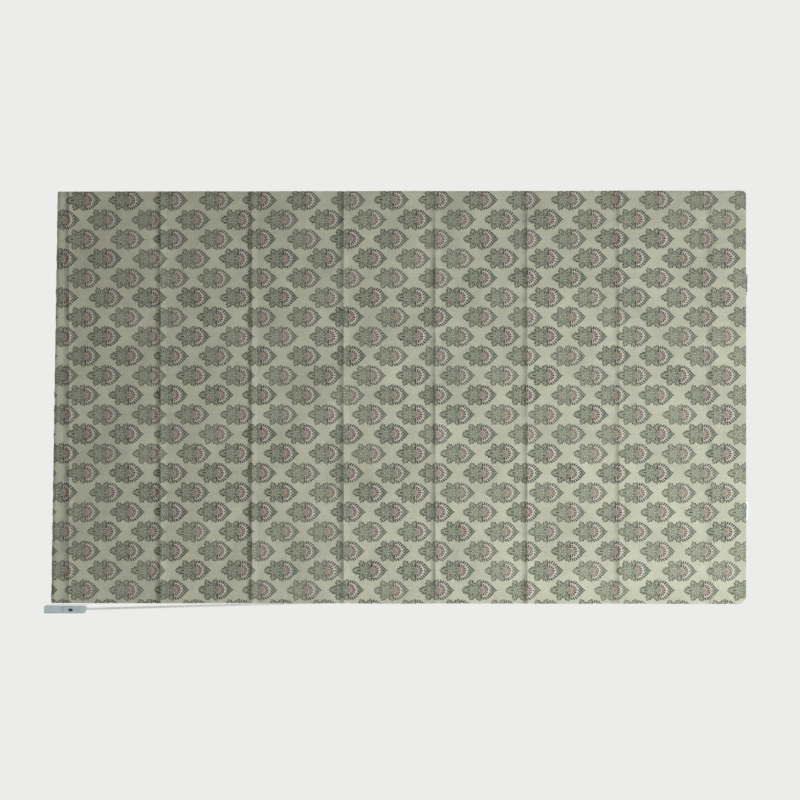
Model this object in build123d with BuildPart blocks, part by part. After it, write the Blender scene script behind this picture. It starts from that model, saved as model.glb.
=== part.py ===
"""A flat roman shade: a printed cloth on six rods, raised by a bead chain, a shaft and three cord spools.

Millimetres. X runs to the right seen from the room, Y away from the viewer, Z up.
The origin is on the fixing plane, in the middle of the width, above the drive shaft.
"""

import os
from math import cos, pi, sin, sqrt

from build123d import *

os.makedirs("parts", exist_ok=True)

# Fits shared by all pieces
running_gap = 0.05
slip_gap = 0.3
cut_overrun = 1.0

# Cloth
shade_width = 885.0
shade_drop = 1485.0
rod_count = 6
fold_pitch_share = 0.13266
bottom_panel_share = 0.15421
hem_skew = 14.0
cloth_thickness = 0.9
cloth_lean = 12.0
side_hem_width = 28.0
ridge_rise = 1.6
ridge_half_height = 9.0
hem_pocket_height = 54.0
hem_shoulder = 16.0
chain_corner_cut = 11.0
plain_corner_cut = 6.0

# Hook and loop tapes
tape_width = 25.0
hook_tape_thickness = 1.5
loop_tape_thickness = 1.2

# Lift cords, rods, pockets, caps and rings
cord_diameter = 1.4
cord_seat = 0.1
cord_inset = 132.0
rod_diameter = 5.0
rod_overhang = 3.0
pocket_wall = 0.8
pocket_flange = 4.4
pocket_end_gap = 5.0
rod_cap_length = 9.0
rod_cap_wall = 1.2
rod_cap_end = 2.0
ring_inner_radius = 4.0
ring_width = 2.0
ring_thickness = 2.4
ring_lug_length = 10.4
ring_lug_width = 5.0

# Bottom bar, caps, anchors and toggles
bar_height = 25.0
bar_thickness = 4.0
bar_seat = 3.0
bar_end_gap = 8.0
bar_cap_thickness = 2.0
anchor_rise = 24.0
anchor_thickness = 3.0
anchor_hole_radius = 1.4
anchor_radius = 5.0
toggle_radius = 4.0
toggle_length = 13.0
toggle_chamfer = 1.2

# Lift spools and cradles
spool_radius = 9.0
spool_flange_rise = 3.0
spool_flange_width = 2.0
spool_drum_length = 36.0
spool_taper = 0.4
spool_journal_radius = 6.0
spool_journal_length = 4.0
spool_float = 0.5
cradle_base_thickness = 2.0
cradle_wall_rise = 9.0
cradle_side_margin = 2.0
cradle_snap_share = 0.8
nozzle_wall = 1.4
nozzle_bore_radius = 2.0
nozzle_reach = 2.0

# Drive shaft and end bush
shaft_side = 6.0
shaft_round = 0.5
bush_radius = 6.0
bush_length = 12.0
bush_collar_rise = 2.0
bush_collar_width = 1.5

# Headrail
rail_wall = 1.4
rail_lip = 9.0
rail_back_room = 2.0
rail_top_room = 2.6
rail_corner = 1.2
rail_left_inset = 15.5
rail_right_inset = 32.5

# End cap
end_cap_thickness = 3.0
end_cap_plug_length = 10.0
end_cap_plug_wall = 2.0
end_cap_boss_wall = 2.0

# Bead chain
bead_pitch = 6.0
bead_radius = 2.25
beads_per_run = 237
wheel_pockets = 12
pulley_stations = 6
bead_facets = 6

# Chain drive
housing_thickness = 20.0
housing_wall = 3.0
housing_round = 5.0
wheel_width = 10.0
wheel_rim_rise = 1.6
wheel_pocket_gap = 0.25
wheel_pocket_share = 0.64
wheel_groove_width = 2.4
wheel_room = 1.4
hub_radius = 5.2
core_wall = 2.7
core_length = 16.0
hub_overhang = 4.0
spring_wire = 1.3
spring_length = 12.0
spring_turns = 6
collar_wall = 1.2
collar_end = 3.0
collar_gap = 0.4
chain_slot_margin = 1.3
cover_thickness = 2.5
cover_stub_radius = 3.0
cover_stub_length = 6.0
screw_radius = 1.2
screw_length = 9.0
screw_head_rise = 1.2
screw_head_height = 1.4
screw_inset = 4.5

# Chain holder at the foot of the chain
holder_offset = 17.0
holder_length = 87.0
holder_width = 16.0
holder_wall = 1.6
holder_back = 3.0
holder_bevel = 2.2
holder_track_depth = 2.0
holder_top_rise = 14.0
holder_room = 1.0
slider_length = 46.0
slider_wall = 1.3
slider_rib_count = 4
slider_rib_width = 1.2
slider_rib_height = 0.8
slider_rib_pitch = 3.2
slider_ribs_from_top = 6.0
window_length = 9.0
window_width = 6.0
window_from_pulley = 15.5
fixing_hole_radius = 2.0
pulley_width = 7.0
pulley_lip = 1.6
axle_radius = 1.5

# Head brackets and their turn levers
bracket_inset = 200.0
bracket_length = 44.0
bracket_depth = 44.0
bracket_thickness = 2.0
bracket_round = 4.0
bracket_hole_radius = 2.25
bracket_hole_spacing = 30.0
bracket_sink = 0.8
foot_side = 5.0
lever_thickness = 2.2
lever_gap = 0.3
lever_hub_radius = 5.0
lever_handle_length = 30.0
lever_handle_width = 9.0
lever_cam_overlap = 5.0
lever_cam_width = 9.0
lever_pin_radius = 2.5

# Heights, from the fixing plane down
rail_top = -(bracket_thickness + lever_gap + lever_thickness + lever_gap)
spool_flange_radius = spool_radius + spool_flange_rise
lever_cam_top = rail_top - rail_wall - lever_gap
lever_cam_bottom = lever_cam_top - lever_thickness
axis_z = lever_cam_bottom - rail_top_room - spool_flange_radius + lever_thickness
cradle_base_top = axis_z - spool_flange_radius - slip_gap - slip_gap
rail_floor = cradle_base_top - cradle_base_thickness
rail_bottom = rail_floor - rail_wall
rail_height = rail_top - rail_bottom

# Depths, from the middle of the rail
pocket_bore_radius = rod_diameter / 2 + slip_gap
pocket_radius = pocket_bore_radius + pocket_wall
rod_stand_off = pocket_radius + slip_gap - ridge_rise
ring_radius = ring_inner_radius + ring_width
cord_stand_off = rod_stand_off + pocket_radius + ring_lug_length + ring_radius
tape_stack = loop_tape_thickness + hook_tape_thickness
spool_to_cord = spool_radius + cord_diameter / 2 + cord_seat
spool_to_back = spool_flange_radius + rail_back_room + rail_wall
rail_depth = cord_stand_off - tape_stack + spool_to_cord + spool_to_back
rail_back = rail_depth / 2
rail_front = -rail_depth / 2
axis_y = rail_back - spool_to_back
cord_top_y = axis_y - spool_to_cord
cloth_top_y = cord_top_y - cord_stand_off

# Places along the width
half_width = shade_width / 2
cord_places = (-(half_width - cord_inset), 0.0, half_width - cord_inset)
rail_left = -(half_width - rail_left_inset)
rail_right = half_width - rail_right_inset
rail_length = rail_right - rail_left
bracket_places = {"left": -(half_width - bracket_inset), "right": half_width - bracket_inset}

# Places down the drop
fold_pitch = shade_drop * fold_pitch_share
bottom_panel = shade_drop * bottom_panel_share
top_panel = shade_drop - bottom_panel - (rod_count - 1) * fold_pitch
rod_drops = [top_panel + fold_pitch * index for index in range(rod_count)]
hem_gap = bar_thickness + slip_gap + slip_gap
hem_depth = hem_gap + cloth_thickness + cloth_thickness

# Chain wheel, chain pulley and where the chain runs
wheel_radius = bead_pitch / 2 / sin(pi / wheel_pockets)
pulley_radius = bead_pitch / 2 / sin(pi / pulley_stations)
wheel_x = rail_right + housing_wall + slip_gap + wheel_width / 2 + wheel_room
holder_x = half_width + holder_offset
cavity_radius = wheel_radius + bead_radius + wheel_room
housing_side = cavity_radius + housing_wall
holder_back_plane = axis_y + housing_side
pulley_room = pulley_radius + bead_radius + holder_room
slider_depth = slider_wall + slider_wall + pulley_room + pulley_room
holder_depth = holder_back + slip_gap + slider_depth
pulley_y = holder_back_plane - holder_back - slip_gap - slider_depth / 2
run_length = bead_pitch * beads_per_run
run_span_x = holder_x - wheel_x
run_span_y = pulley_y - axis_y
pulley_z = axis_z - sqrt(run_length**2 - run_span_x**2 - run_span_y**2)
holder_top = pulley_z + holder_top_rise
holder_bottom = holder_top - holder_length


def drop_z(drop):
    """Height of a place on the cloth, from how far down the cloth it is."""
    return rail_top - drop


def lean_y(drop):
    """How far the hanging cloth and cords have leaned back at a drop."""
    return cloth_lean * max(0, drop - rail_height) / (shade_drop - rail_height)


def cloth_back(drop):
    """Depth of the cloth's back face at a drop."""
    return cloth_top_y + lean_y(drop)


def cord_y(drop):
    """Depth of a lift cord at a drop."""
    return cord_top_y + lean_y(drop)


def hem_drop(place):
    """Drop of the hem's lower edge at a place along the width."""
    return shade_drop + hem_skew * place / shade_width


def trace_cloth(offset, stop):
    """Draws the cloth's line down its drop and over each rod, offset from its back face."""
    here = (cloth_back(0) + offset, drop_z(0))
    bend = (cloth_back(rail_height) + offset, drop_z(rail_height))
    Line(here, bend)
    here = bend
    for drop in rod_drops:
        above = (cloth_back(drop - ridge_half_height) + offset, drop_z(drop - ridge_half_height))
        crest = (cloth_back(drop) + offset - ridge_rise, drop_z(drop))
        below = (cloth_back(drop + ridge_half_height) + offset, drop_z(drop + ridge_half_height))
        Line(here, above)
        ThreePointArc(above, crest, below)
        here = below
    Line(here, (cloth_back(stop) + offset, drop_z(stop)))


def place_bead(bead, centre, along):
    """A copy of a bead at a place on the chain, along the chain's way there."""
    return Plane(origin=centre, x_dir=(1, 0, 0), z_dir=along).location * bead


def save(piece, label):
    """Names a finished piece and writes it."""
    piece.label = label
    export_step(piece, f"parts/{label}.step")


# Face cloth: one sheet over the rods, its lower end turned up behind into a pocket for the bar
with BuildPart() as face_fabric:
    for place in (-half_width, half_width):
        low = hem_drop(place)
        seam = low - hem_pocket_height
        shoulder = seam + hem_shoulder
        turn = low - hem_depth / 2
        with BuildSketch(Plane.YZ.offset(place)):
            with BuildLine():
                trace_cloth(-cloth_thickness, turn)
                trace_cloth(0, seam)
                front = (cloth_back(turn) - cloth_thickness, drop_z(turn))
                rear = (cloth_back(turn) + hem_gap + cloth_thickness, drop_z(turn))
                middle = (cloth_back(turn) + hem_gap / 2, drop_z(low))
                ThreePointArc(front, middle, rear)
                Line(rear, (cloth_back(shoulder) + hem_gap + cloth_thickness, drop_z(shoulder)))
                Line(
                    (cloth_back(shoulder) + hem_gap + cloth_thickness, drop_z(shoulder)),
                    (cloth_back(seam) + cloth_thickness, drop_z(seam)),
                )
                Line(
                    (cloth_back(seam) + cloth_thickness, drop_z(seam)),
                    (cloth_back(seam), drop_z(seam)),
                )
                Line(
                    (cloth_back(0) - cloth_thickness, drop_z(0)),
                    (cloth_back(0), drop_z(0)),
                )
            make_face()
    loft(ruled=True)
    for place in (-half_width - cut_overrun, half_width + cut_overrun):
        low = hem_drop(place)
        shoulder = low - hem_pocket_height + hem_shoulder
        turn = low - hem_depth / 2
        with BuildSketch(Plane.YZ.offset(place)):
            with BuildLine():
                front = (cloth_back(turn), drop_z(turn))
                rear = (cloth_back(turn) + hem_gap, drop_z(turn))
                middle = (cloth_back(turn) + hem_gap / 2, drop_z(low - cloth_thickness))
                ThreePointArc(front, middle, rear)
                top_rear = (cloth_back(shoulder) + hem_gap, drop_z(shoulder))
                top_front = (cloth_back(shoulder), drop_z(shoulder))
                Line(rear, top_rear)
                Line(top_rear, top_front)
                Line(top_front, front)
            make_face()
    loft(ruled=True, mode=Mode.SUBTRACT)
    hem_stop = hem_drop(-half_width) - hem_pocket_height - cloth_thickness
    for place in (-half_width, half_width - side_hem_width):
        with BuildSketch(Plane.YZ.offset(place)):
            with BuildLine():
                trace_cloth(0, hem_stop)
                trace_cloth(cloth_thickness, hem_stop)
                Line((cloth_back(0), drop_z(0)), (cloth_back(0) + cloth_thickness, drop_z(0)))
                Line(
                    (cloth_back(hem_stop), drop_z(hem_stop)),
                    (cloth_back(hem_stop) + cloth_thickness, drop_z(hem_stop)),
                )
            make_face()
        extrude(amount=side_hem_width)
    corners = ((half_width, chain_corner_cut, -1), (-half_width, plain_corner_cut, 1))
    for place, cut, inward in corners:
        with BuildSketch(Plane.XZ.offset(-cloth_top_y)):
            with BuildLine():
                Polyline(
                    (place - inward * cut_overrun, rail_top + cut_overrun),
                    (place + inward * (cut + cut_overrun), rail_top + cut_overrun),
                    (place - inward * cut_overrun, rail_top - cut - cut_overrun),
                    close=True,
                )
            make_face()
        extrude(amount=cloth_thickness + cut_overrun, both=True, mode=Mode.SUBTRACT)
save(face_fabric.part, "face_fabric")

# Loop tape on the cloth, hook tape on the rail
tape_length = rail_length - side_hem_width - side_hem_width
with BuildPart() as loop_tape:
    with Locations((rail_left + rail_length / 2, cloth_top_y, rail_top - rail_height / 2)):
        Box(
            tape_length, loop_tape_thickness, tape_width,
            align=(Align.CENTER, Align.MIN, Align.CENTER),
        )
save(loop_tape.part, "loop_tape")
with BuildPart() as hook_tape:
    with Locations((rail_left + rail_length / 2, rail_front, rail_top - rail_height / 2)):
        Box(
            tape_length, hook_tape_thickness, tape_width,
            align=(Align.CENTER, Align.MAX, Align.CENTER),
        )
save(hook_tape.part, "hook_tape")

# Headrail: a channel open upwards between two lips, with a cord hole over each cord
nozzle_radius = nozzle_bore_radius + nozzle_wall
with BuildPart() as headrail:
    with BuildSketch(Plane.YZ.offset(rail_left)) as rail_section:
        with Locations((0, rail_top - rail_height / 2)):
            RectangleRounded(rail_depth, rail_height, rail_corner)
            Rectangle(rail_depth - 2 * rail_wall, rail_height - 2 * rail_wall, mode=Mode.SUBTRACT)
        with Locations((0, rail_top)):
            Rectangle(rail_depth - 2 * rail_lip, rail_wall + rail_wall + cut_overrun, mode=Mode.SUBTRACT)
    extrude(amount=rail_length)
    with Locations(*[(place, cord_top_y, rail_floor) for place in cord_places]):
        Cylinder(
            nozzle_radius + slip_gap, rail_wall + rail_wall + cut_overrun, mode=Mode.SUBTRACT,
        )
save(headrail.part, "headrail")

# End cap: a plate with a plug in the rail and a bearing for the shaft's bush
plug_depth = rail_depth - 2 * rail_wall - 2 * slip_gap
plug_height = rail_height - 2 * rail_wall - 2 * slip_gap
with BuildPart() as end_cap:
    with BuildSketch(Plane.YZ.offset(rail_left - end_cap_thickness)):
        with Locations((0, rail_top - rail_height / 2)):
            RectangleRounded(rail_depth, rail_height, rail_corner)
    extrude(amount=end_cap_thickness)
    with BuildSketch(Plane.YZ.offset(rail_left)):
        with Locations((0, rail_top - rail_height / 2)):
            Rectangle(plug_depth, plug_height)
            Rectangle(
                plug_depth - 2 * end_cap_plug_wall, plug_height - 2 * end_cap_plug_wall,
                mode=Mode.SUBTRACT,
            )
    extrude(amount=end_cap_plug_length)
    with BuildSketch(Plane.YZ.offset(rail_left)):
        with Locations((axis_y, axis_z)):
            Circle(bush_radius + running_gap + end_cap_boss_wall)
            Circle(bush_radius + running_gap, mode=Mode.SUBTRACT)
    extrude(amount=bush_length)
save(end_cap.part, "end_cap")

# End bush: turns in the end cap with the shaft through it
bush_left = rail_left + slip_gap
with BuildPart() as end_bush:
    with BuildSketch(Plane.YZ.offset(bush_left)):
        with Locations((axis_y, axis_z)):
            Circle(bush_radius)
            Rectangle(shaft_side, shaft_side, mode=Mode.SUBTRACT)
    extrude(amount=bush_length)
    with BuildSketch(Plane.YZ.offset(bush_left + bush_length)):
        with Locations((axis_y, axis_z)):
            Circle(bush_radius + bush_collar_rise)
            Rectangle(shaft_side, shaft_side, mode=Mode.SUBTRACT)
    extrude(amount=bush_collar_width)
save(end_bush.part, "end_bush")

# Drive housing: a moulded end with the wheel's chamber, a plug in the rail and the clutch's fixed core
housing_left = rail_right
housing_right = housing_left + housing_thickness
core_bore = hub_radius + running_gap
core_radius = core_bore + core_wall
core_end = housing_left - core_length
collar_bore = core_radius + running_gap + spring_wire + collar_gap
collar_radius = collar_bore + collar_wall
chain_slot_side = bead_radius + chain_slot_margin
screw_places = (
    (axis_y - housing_side + screw_inset, axis_z + housing_side - screw_inset),
    (axis_y + housing_side - screw_inset, axis_z + housing_side - screw_inset),
)
with BuildPart() as drive_housing:
    with BuildSketch(Plane.YZ.offset(housing_left)):
        with Locations((axis_y, axis_z)):
            RectangleRounded(2 * housing_side, 2 * housing_side, housing_round)
    extrude(amount=housing_thickness)
    with BuildSketch(Plane.YZ.offset(housing_left + housing_wall)):
        with Locations((axis_y, axis_z)):
            Circle(cavity_radius)
    extrude(amount=housing_thickness, mode=Mode.SUBTRACT)
    with Locations((wheel_x, axis_y - wheel_radius, axis_z), (wheel_x, axis_y + wheel_radius, axis_z)):
        Box(
            2 * chain_slot_side, 2 * chain_slot_side, housing_side + cut_overrun,
            align=(Align.CENTER, Align.CENTER, Align.MAX), mode=Mode.SUBTRACT,
        )
    with BuildSketch(Plane.YZ.offset(housing_left - end_cap_plug_length)):
        with Locations((0, rail_top - rail_height / 2)):
            Rectangle(plug_depth, plug_height)
        with Locations((axis_y, axis_z)):
            Circle(collar_radius + slip_gap + slip_gap, mode=Mode.SUBTRACT)
    extrude(amount=end_cap_plug_length)
    with BuildSketch(Plane.YZ.offset(core_end)):
        with Locations((axis_y, axis_z)):
            Circle(core_radius)
    extrude(amount=core_length)
    with BuildSketch(Plane.YZ.offset(core_end)):
        with Locations((axis_y, axis_z)):
            Circle(core_bore)
    extrude(amount=core_length + housing_wall + cut_overrun, mode=Mode.SUBTRACT)
    with BuildSketch(Plane.YZ.offset(housing_right)):
        with Locations(*screw_places):
            Circle(screw_radius)
    extrude(amount=-screw_length, mode=Mode.SUBTRACT)
save(drive_housing.part, "drive_housing")

# Chain wheel: pockets for the beads between two rims, and a hub through the core to the shaft
wheel_left = wheel_x - wheel_width / 2
wheel_outer = wheel_radius + wheel_rim_rise
hub_end = core_end - hub_overhang
pocket_half = bead_radius + wheel_pocket_gap
with BuildPart() as chain_wheel:
    with BuildSketch(Plane.YZ.offset(wheel_left)):
        with Locations((axis_y, axis_z)):
            Circle(wheel_outer)
    extrude(amount=wheel_width)
    with BuildSketch(Plane.YZ.offset(wheel_x - wheel_groove_width / 2)):
        with Locations((axis_y, axis_z)):
            Circle(wheel_outer + cut_overrun)
            Circle(wheel_radius - wheel_groove_width / 2, mode=Mode.SUBTRACT)
    extrude(amount=wheel_groove_width, mode=Mode.SUBTRACT)
    with BuildSketch(Plane.YZ.offset(wheel_x - pocket_half)):
        with Locations((axis_y, axis_z)):
            with PolarLocations(wheel_radius - pocket_half, wheel_pockets):
                Rectangle(
                    wheel_radius, wheel_pocket_share * bead_pitch,
                    align=(Align.MIN, Align.CENTER),
                )
    extrude(amount=2 * pocket_half, mode=Mode.SUBTRACT)
    with BuildSketch(Plane.YZ.offset(hub_end)):
        with Locations((axis_y, axis_z)):
            Circle(hub_radius)
    extrude(amount=wheel_left - hub_end)
    with BuildSketch(Plane.YZ.offset(hub_end)):
        with Locations((axis_y, axis_z)):
            Rectangle(shaft_side, shaft_side)
    extrude(amount=core_length, mode=Mode.SUBTRACT)
    with BuildSketch(Plane.YZ.offset(wheel_x + wheel_width / 2)):
        with Locations((axis_y, axis_z)):
            Circle(cover_stub_radius + running_gap)
    extrude(amount=-cover_stub_length - slip_gap, mode=Mode.SUBTRACT)
save(chain_wheel.part, "chain_wheel")

# Clutch spring: close turns of square wire gripping the core
spring_left = core_end + slip_gap
turn_pitch = spring_length / spring_turns
with BuildPart() as clutch_spring:
    with BuildSketch(Plane.YZ.offset(spring_left)):
        with Locations((axis_y, axis_z)):
            Circle(core_radius + running_gap + spring_wire)
            Circle(core_radius + running_gap, mode=Mode.SUBTRACT)
    extrude(amount=spring_length)
    for index in range(1, spring_turns):
        with BuildSketch(Plane.YZ.offset(spring_left + turn_pitch * index - running_gap)):
            with Locations((axis_y, axis_z)):
                Circle(core_radius + spring_wire + cut_overrun)
                Circle(core_radius + running_gap + spring_wire / 2, mode=Mode.SUBTRACT)
        extrude(amount=2 * running_gap, mode=Mode.SUBTRACT)
save(clutch_spring.part, "clutch_spring")

# Clutch collar: a cup round the spring that turns the shaft
collar_left = hub_end - slip_gap - collar_end
collar_right = housing_left - slip_gap - slip_gap
with BuildPart() as clutch_collar:
    with BuildSketch(Plane.YZ.offset(collar_left)):
        with Locations((axis_y, axis_z)):
            Circle(collar_radius)
            Rectangle(shaft_side, shaft_side, mode=Mode.SUBTRACT)
    extrude(amount=collar_end)
    with BuildSketch(Plane.YZ.offset(collar_left + collar_end)):
        with Locations((axis_y, axis_z)):
            Circle(collar_radius)
            Circle(collar_bore, mode=Mode.SUBTRACT)
    extrude(amount=collar_right - collar_left - collar_end)
save(clutch_collar.part, "clutch_collar")

# Drive cover: closes the wheel's chamber and carries the wheel's outer end
cover_right = housing_right + cover_thickness
with BuildPart() as drive_cover:
    with BuildSketch(Plane.YZ.offset(housing_right)):
        with Locations((axis_y, axis_z)):
            RectangleRounded(2 * housing_side, 2 * housing_side, housing_round)
        with Locations(*screw_places):
            Circle(screw_radius + slip_gap, mode=Mode.SUBTRACT)
    extrude(amount=cover_thickness)
    with BuildSketch(Plane.YZ.offset(housing_right)):
        with Locations((axis_y, axis_z)):
            Circle(cover_stub_radius)
    extrude(amount=-(housing_right - wheel_x - wheel_width / 2 + cover_stub_length))
save(drive_cover.part, "drive_cover")

# Cover screws
with BuildPart() as cover_screws:
    with BuildSketch(Plane.YZ.offset(cover_right)):
        with Locations(*screw_places):
            Circle(screw_radius + screw_head_rise)
    extrude(amount=screw_head_height)
    with BuildSketch(Plane.YZ.offset(cover_right)):
        with Locations(*screw_places):
            Circle(screw_radius)
    extrude(amount=-(screw_length + cover_thickness - slip_gap))
save(cover_screws.part, "cover_screws")

# Drive shaft: a square bar from the end bush to the wheel's hub
shaft_left = bush_left + slip_gap
shaft_right = hub_end + core_length - slip_gap
with BuildPart() as drive_shaft:
    with BuildSketch(Plane.YZ.offset(shaft_left)):
        with Locations((axis_y, axis_z)):
            RectangleRounded(shaft_side, shaft_side, shaft_round)
    extrude(amount=shaft_right - shaft_left)
save(drive_shaft.part, "drive_shaft")

# Lift spools and the cradles that carry them
spool_half = spool_drum_length / 2
flange_end = spool_half + spool_flange_width
journal_end = flange_end + spool_journal_length
cradle_wall = spool_journal_length - spool_float - spool_float
cradle_half = flange_end + spool_float + cradle_wall
bearing_radius = spool_journal_radius + running_gap
cradle_front = cord_top_y - nozzle_radius - cradle_side_margin
cradle_depth = axis_y + spool_flange_radius - cradle_front
for side, place in zip(("left", "centre", "right"), cord_places):
    with BuildPart() as lift_spool:
        with BuildSketch(Plane(origin=(place, axis_y, axis_z), x_dir=(1, 0, 0), z_dir=(0, -1, 0))):
            with BuildLine():
                Polyline(
                    (-journal_end, 0),
                    (-journal_end, spool_journal_radius),
                    (-flange_end, spool_journal_radius),
                    (-flange_end, spool_flange_radius),
                    (-spool_half, spool_flange_radius),
                    (-spool_half, spool_radius - spool_taper),
                    (0, spool_radius),
                    (spool_half, spool_radius - spool_taper),
                    (spool_half, spool_flange_radius),
                    (flange_end, spool_flange_radius),
                    (flange_end, spool_journal_radius),
                    (journal_end, spool_journal_radius),
                    (journal_end, 0),
                    close=True,
                )
            make_face()
        revolve(axis=Axis((place, axis_y, axis_z), (1, 0, 0)))
        with Locations((place, axis_y, axis_z)):
            Box(2 * (journal_end + cut_overrun), shaft_side, shaft_side, mode=Mode.SUBTRACT)
    save(lift_spool.part, f"lift_spool_{side}")
    with BuildPart() as spool_cradle:
        with Locations((place, cradle_front, rail_floor)):
            Box(
                2 * cradle_half, cradle_depth, cradle_base_thickness,
                align=(Align.CENTER, Align.MIN, Align.MIN),
            )
        for wall_left in (place - cradle_half, place + cradle_half - cradle_wall):
            with BuildSketch(Plane.YZ.offset(wall_left)):
                with Locations((axis_y, rail_floor)):
                    Rectangle(
                        2 * spool_flange_radius, axis_z + cradle_wall_rise - rail_floor,
                        align=(Align.CENTER, Align.MIN),
                    )
                with Locations((axis_y, axis_z)):
                    Circle(bearing_radius, mode=Mode.SUBTRACT)
                    Rectangle(
                        2 * cradle_snap_share * spool_journal_radius, cradle_wall_rise + cut_overrun,
                        align=(Align.CENTER, Align.MIN), mode=Mode.SUBTRACT,
                    )
            extrude(amount=cradle_wall)
        with BuildSketch(Plane.XY.offset(rail_bottom - nozzle_reach)):
            with Locations((place, cord_top_y)):
                Circle(nozzle_radius)
        extrude(amount=cradle_base_top - rail_bottom + nozzle_reach)
        with BuildSketch(Plane.XY.offset(rail_bottom - nozzle_reach)):
            with Locations((place, cord_top_y)):
                Circle(nozzle_bore_radius)
        extrude(amount=cradle_base_top - rail_bottom + nozzle_reach, mode=Mode.SUBTRACT)
    save(spool_cradle.part, f"spool_cradle_{side}")

# Rods with their pockets, caps and cord rings
pocket_length = shade_width - 2 * (side_hem_width + pocket_end_gap + rod_cap_length)
rod_length = pocket_length + 2 * (rod_overhang + rod_cap_length - rod_cap_end)
for index, drop in enumerate(rod_drops, start=1):
    rod_y = cloth_back(drop) + rod_stand_off
    rod_z = drop_z(drop)
    with BuildPart() as rod:
        with BuildSketch(Plane.YZ.offset(-rod_length / 2)):
            with Locations((rod_y, rod_z)):
                Circle(rod_diameter / 2)
        extrude(amount=rod_length)
    save(rod.part, f"rod_{index}")
    flange_y = cloth_back(drop) + slip_gap
    with BuildPart() as rod_pocket:
        with BuildSketch(Plane.YZ.offset(-pocket_length / 2)):
            with Locations((rod_y, rod_z)):
                Circle(pocket_radius)
            with Locations((flange_y, rod_z)):
                Rectangle(
                    pocket_wall, pocket_radius + pocket_flange,
                    align=(Align.MIN, Align.MIN),
                )
            with Locations((rod_y, rod_z)):
                Circle(pocket_bore_radius, mode=Mode.SUBTRACT)
        extrude(amount=pocket_length)
    save(rod_pocket.part, f"rod_pocket_{index}")
    cap_start = pocket_length / 2 + rod_overhang
    with BuildPart() as rod_caps:
        for side in (-1, 1):
            with BuildSketch(Plane.YZ.offset(side * cap_start)):
                with Locations((rod_y, rod_z)):
                    Circle(rod_diameter / 2 + rod_cap_wall)
            extrude(amount=side * rod_cap_length)
            with BuildSketch(Plane.YZ.offset(side * cap_start)):
                with Locations((rod_y, rod_z)):
                    Circle(rod_diameter / 2)
            extrude(amount=side * (rod_cap_length - rod_cap_end), mode=Mode.SUBTRACT)
    save(rod_caps.part, f"rod_caps_{index}")
    ring_y = cord_y(drop)
    with BuildPart() as cord_rings:
        with BuildSketch(Plane.XY.offset(rod_z - ring_thickness / 2)):
            with Locations(*[(place, ring_y) for place in cord_places]):
                Rectangle(
                    ring_lug_width, ring_radius + ring_lug_length,
                    align=(Align.CENTER, Align.MAX),
                )
                Circle(ring_radius)
                Circle(ring_inner_radius, mode=Mode.SUBTRACT)
        extrude(amount=ring_thickness)
    save(cord_rings.part, f"cord_rings_{index}")

# Bottom bar in the hem, with end caps; it hangs with the hem's slant
bar_half = half_width - side_hem_width - bar_end_gap
hem_fall = -hem_skew / shade_width
bar_rise = bar_seat + hem_depth / 2 + bar_height / 2


def hem_point(place, rise, depth):
    """A point behind the hem's cloth, from its place along the width, its rise and its depth."""
    drop = hem_drop(place) - rise
    return (place, cloth_back(hem_drop(0) - bar_rise) + depth, drop_z(drop))


bar_way = Vector(1, 0, hem_fall)
bar_depth = slip_gap + bar_thickness / 2
with BuildPart() as bottom_bar:
    at_end = hem_point(-bar_half, bar_rise, bar_depth)
    with BuildSketch(Plane(origin=at_end, x_dir=(0, 1, 0), z_dir=(1, 0, 0))):
        RectangleRounded(bar_thickness, bar_height, bar_thickness / 2 - running_gap)
    extrude(amount=2 * bar_half * bar_way.length, dir=bar_way)
save(bottom_bar.part, "bottom_bar")

with BuildPart() as bottom_bar_caps:
    for side in (-1, 1):
        at_end = hem_point(side * bar_half, bar_rise, bar_depth)
        with BuildSketch(Plane(origin=at_end, x_dir=(0, 1, 0), z_dir=(1, 0, 0))):
            RectangleRounded(bar_thickness, bar_height, bar_thickness / 2 - running_gap)
        extrude(amount=bar_cap_thickness * bar_way.length, dir=bar_way * side)
save(bottom_bar_caps.part, "bottom_bar_caps")

# Cord anchors on the back of the hem, and the toggles that stop each cord below them
anchor_depth = cord_stand_off
anchor_lug = anchor_depth - hem_gap - cloth_thickness - slip_gap
with BuildPart() as cord_anchors:
    for place in cord_places:
        at = hem_point(place, anchor_rise, anchor_depth)
        with BuildSketch(Plane.XY.offset(at[2])):
            with Locations((at[0], at[1])):
                Rectangle(2 * anchor_radius, anchor_lug, align=(Align.CENTER, Align.MAX))
                Circle(anchor_radius)
                Circle(anchor_hole_radius, mode=Mode.SUBTRACT)
        extrude(amount=anchor_thickness)
save(cord_anchors.part, "cord_anchors")

with BuildPart() as cord_toggles:
    for place in cord_places:
        at = hem_point(place, anchor_rise, anchor_depth)
        with BuildSketch(Plane.XY.offset(at[2])):
            with Locations((at[0], at[1])):
                Circle(toggle_radius)
        extrude(amount=-toggle_length)
    chamfer(cord_toggles.faces().filter_by(Axis.Z).edges(), toggle_chamfer)
    for place in cord_places:
        at = hem_point(place, anchor_rise, anchor_depth)
        with BuildSketch(Plane.XY.offset(at[2])):
            with Locations((at[0], at[1])):
                Circle(cord_diameter / 2 + slip_gap)
        extrude(amount=-toggle_length / 2, mode=Mode.SUBTRACT)
save(cord_toggles.part, "cord_toggles")

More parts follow.
